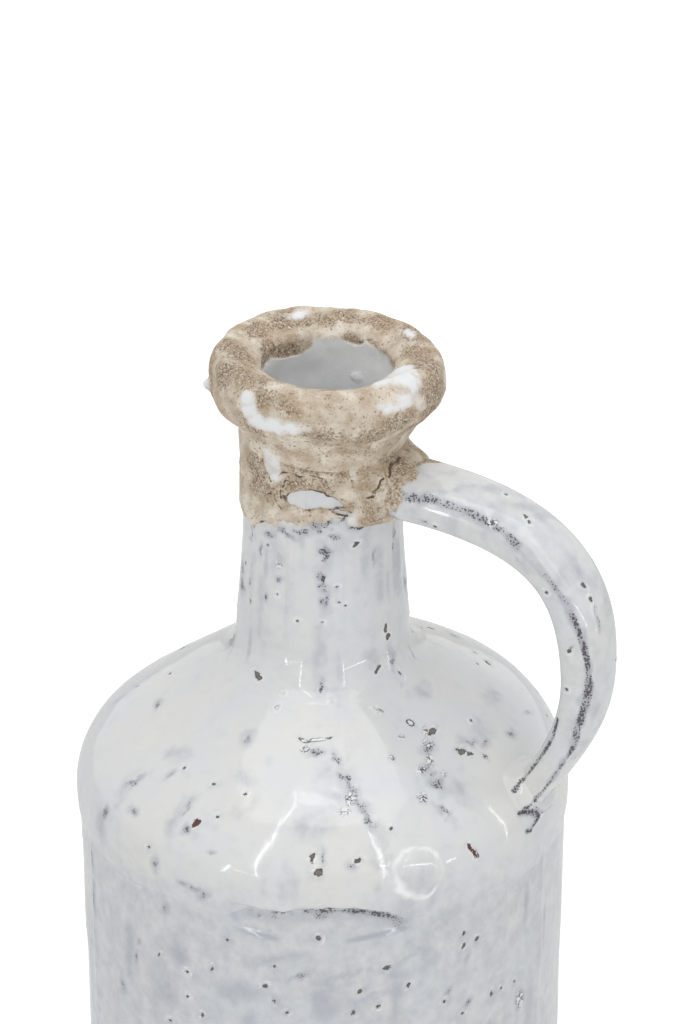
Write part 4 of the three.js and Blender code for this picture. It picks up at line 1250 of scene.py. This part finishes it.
# Matt white card, shown as bright as the backdrop where no shadow falls.
card, tree, shader, place = new_material("matt_white_card")
fibres = node(tree, "TexNoise", {"Vector": place, "Scale": 1 / (6 * MM), "Detail": 3.0})
paper = node(tree, "Mix", {0: fibres, 6: "#F4F4F3", 7: "#F8F8F8"}, data_type="RGBA")
seen = node(tree, "LightPath").outputs["Is Camera Ray"]
glow = node(tree, "Math", {0: seen, 1: 0.45}, operation="MULTIPLY")
feed(tree, shader, {"Base Color": paper, "Roughness": 0.9})
feed(tree, shader, {"Emission Color": "#FFFFFF", "Emission Strength": glow})
floor.data.materials.append(card)

world = bpy.data.worlds.new("studio")
bpy.context.scene.world = world
world.use_nodes = True
tree = world.node_tree
path = node(tree, "LightPath")
shown = path.outputs["Is Camera Ray"]
for ray in ("Is Glossy Ray", "Is Transmission Ray"):
    shown = node(tree, "Math", {0: shown, 1: path.outputs[ray]}, operation="ADD", use_clamp=True)
strength = node(tree, "MapRange", {"Value": shown, "To Min": AMBIENT, "To Max": 1.0})
feed(tree, tree.nodes["Background"], {"Color": "#FFFFFF", "Strength": strength})

# The camera: about 1.6 m away, 25 degrees above level, with the handle turned 30 degrees towards it.
IMAGE_HEIGHT = 1024
FOCAL_PIXELS = 4000
VIEW_DISTANCE = 1603 * MM
VIEW_AZIMUTH = math.radians(30)
VIEW_ELEVATION = math.radians(25)
AIM_HEIGHT = 306.3 * MM
AXIS_LEFT_OF_CENTRE = 7.6 * MM
to_right = Vector((math.cos(VIEW_AZIMUTH), math.sin(VIEW_AZIMUTH), 0))
level = Vector((math.sin(VIEW_AZIMUTH), -math.cos(VIEW_AZIMUTH), 0))
to_camera = level * math.cos(VIEW_ELEVATION) + Vector((0, 0, math.sin(VIEW_ELEVATION)))
aim = to_right * AXIS_LEFT_OF_CENTRE + Vector((0, 0, AIM_HEIGHT))
camera_data = bpy.data.cameras.new("camera")
camera = bpy.data.objects.new("camera", camera_data)
bpy.context.scene.collection.objects.link(camera)
camera.location = aim + to_camera * VIEW_DISTANCE
camera.rotation_euler = to_camera.to_track_quat("Z", "Y").to_euler()
camera_data.sensor_width = 36
camera_data.lens = camera_data.sensor_width * FOCAL_PIXELS / IMAGE_HEIGHT
camera_data.clip_end = 20
bpy.context.scene.camera = camera

# The lamps: soft strips between two places (right, towards the camera and up, in m), facing the vase,
# with their width and radiance.
lit_place = level * 0.08 + Vector((0, 0, 0.215))
for name, *ends, width, radiance in (
    ("overhead", (-0.9, 0, 1.9), (0.9, 0, 1.9), 1.5, 1.5),
    ("box_left_upper", (-0.22, 0.2, 1.47), (-0.48, 0.72, 1.25), 0.022, 7),
    ("box_left", (-0.48, 0.72, 1.25), (-0.68, 1.36, -0.19), 0.022, 11),
    ("box_left_foot", (-0.68, 1.36, -0.13), (-1.1, 0.94, 0.02), 0.025, 9),
    ("box_left_wing", (-1.05, 1.02, 0.16), (-1.08, 0.9, -0.42), 0.05, 9),
    ("box_top", (-0.2, 0.22, 1.48), (0.2, 0.25, 1.47), 0.014, 6),
    ("box_right", (0.46, 0.66, 1.27), (0.66, 1.32, -0.15), 0.022, 10),
    ("box_right_wing", (0.65, 1.3, 0.42), (1.33, 0.79, -0.05), 0.04, 9),
    ("box_right_far", (1.56, 0.02, -0.2), (1.38, 0, 0.72), 0.022, 8),
):
    start, end = (lit_place + to_right * x + level * y + Vector((0, 0, z)) for x, y, z in ends)
    middle = (start + end) / 2
    along = (end - start).normalized()
    away = (middle - lit_place).normalized()
    away = (away - along * away.dot(along)).normalized()
    data = bpy.data.lights.new(name, "AREA")
    data.shape = "RECTANGLE"
    data.size = (end - start).length
    data.size_y = width
    data.energy = radiance * math.pi * data.size * data.size_y
    lamp = bpy.data.objects.new(name, data)
    bpy.context.scene.collection.objects.link(lamp)
    facing = Matrix((along, away.cross(along), away)).transposed().to_4x4()
    lamp.matrix_world = Matrix.Translation(middle) @ facing

bpy.context.scene.view_settings.view_transform = "Standard"
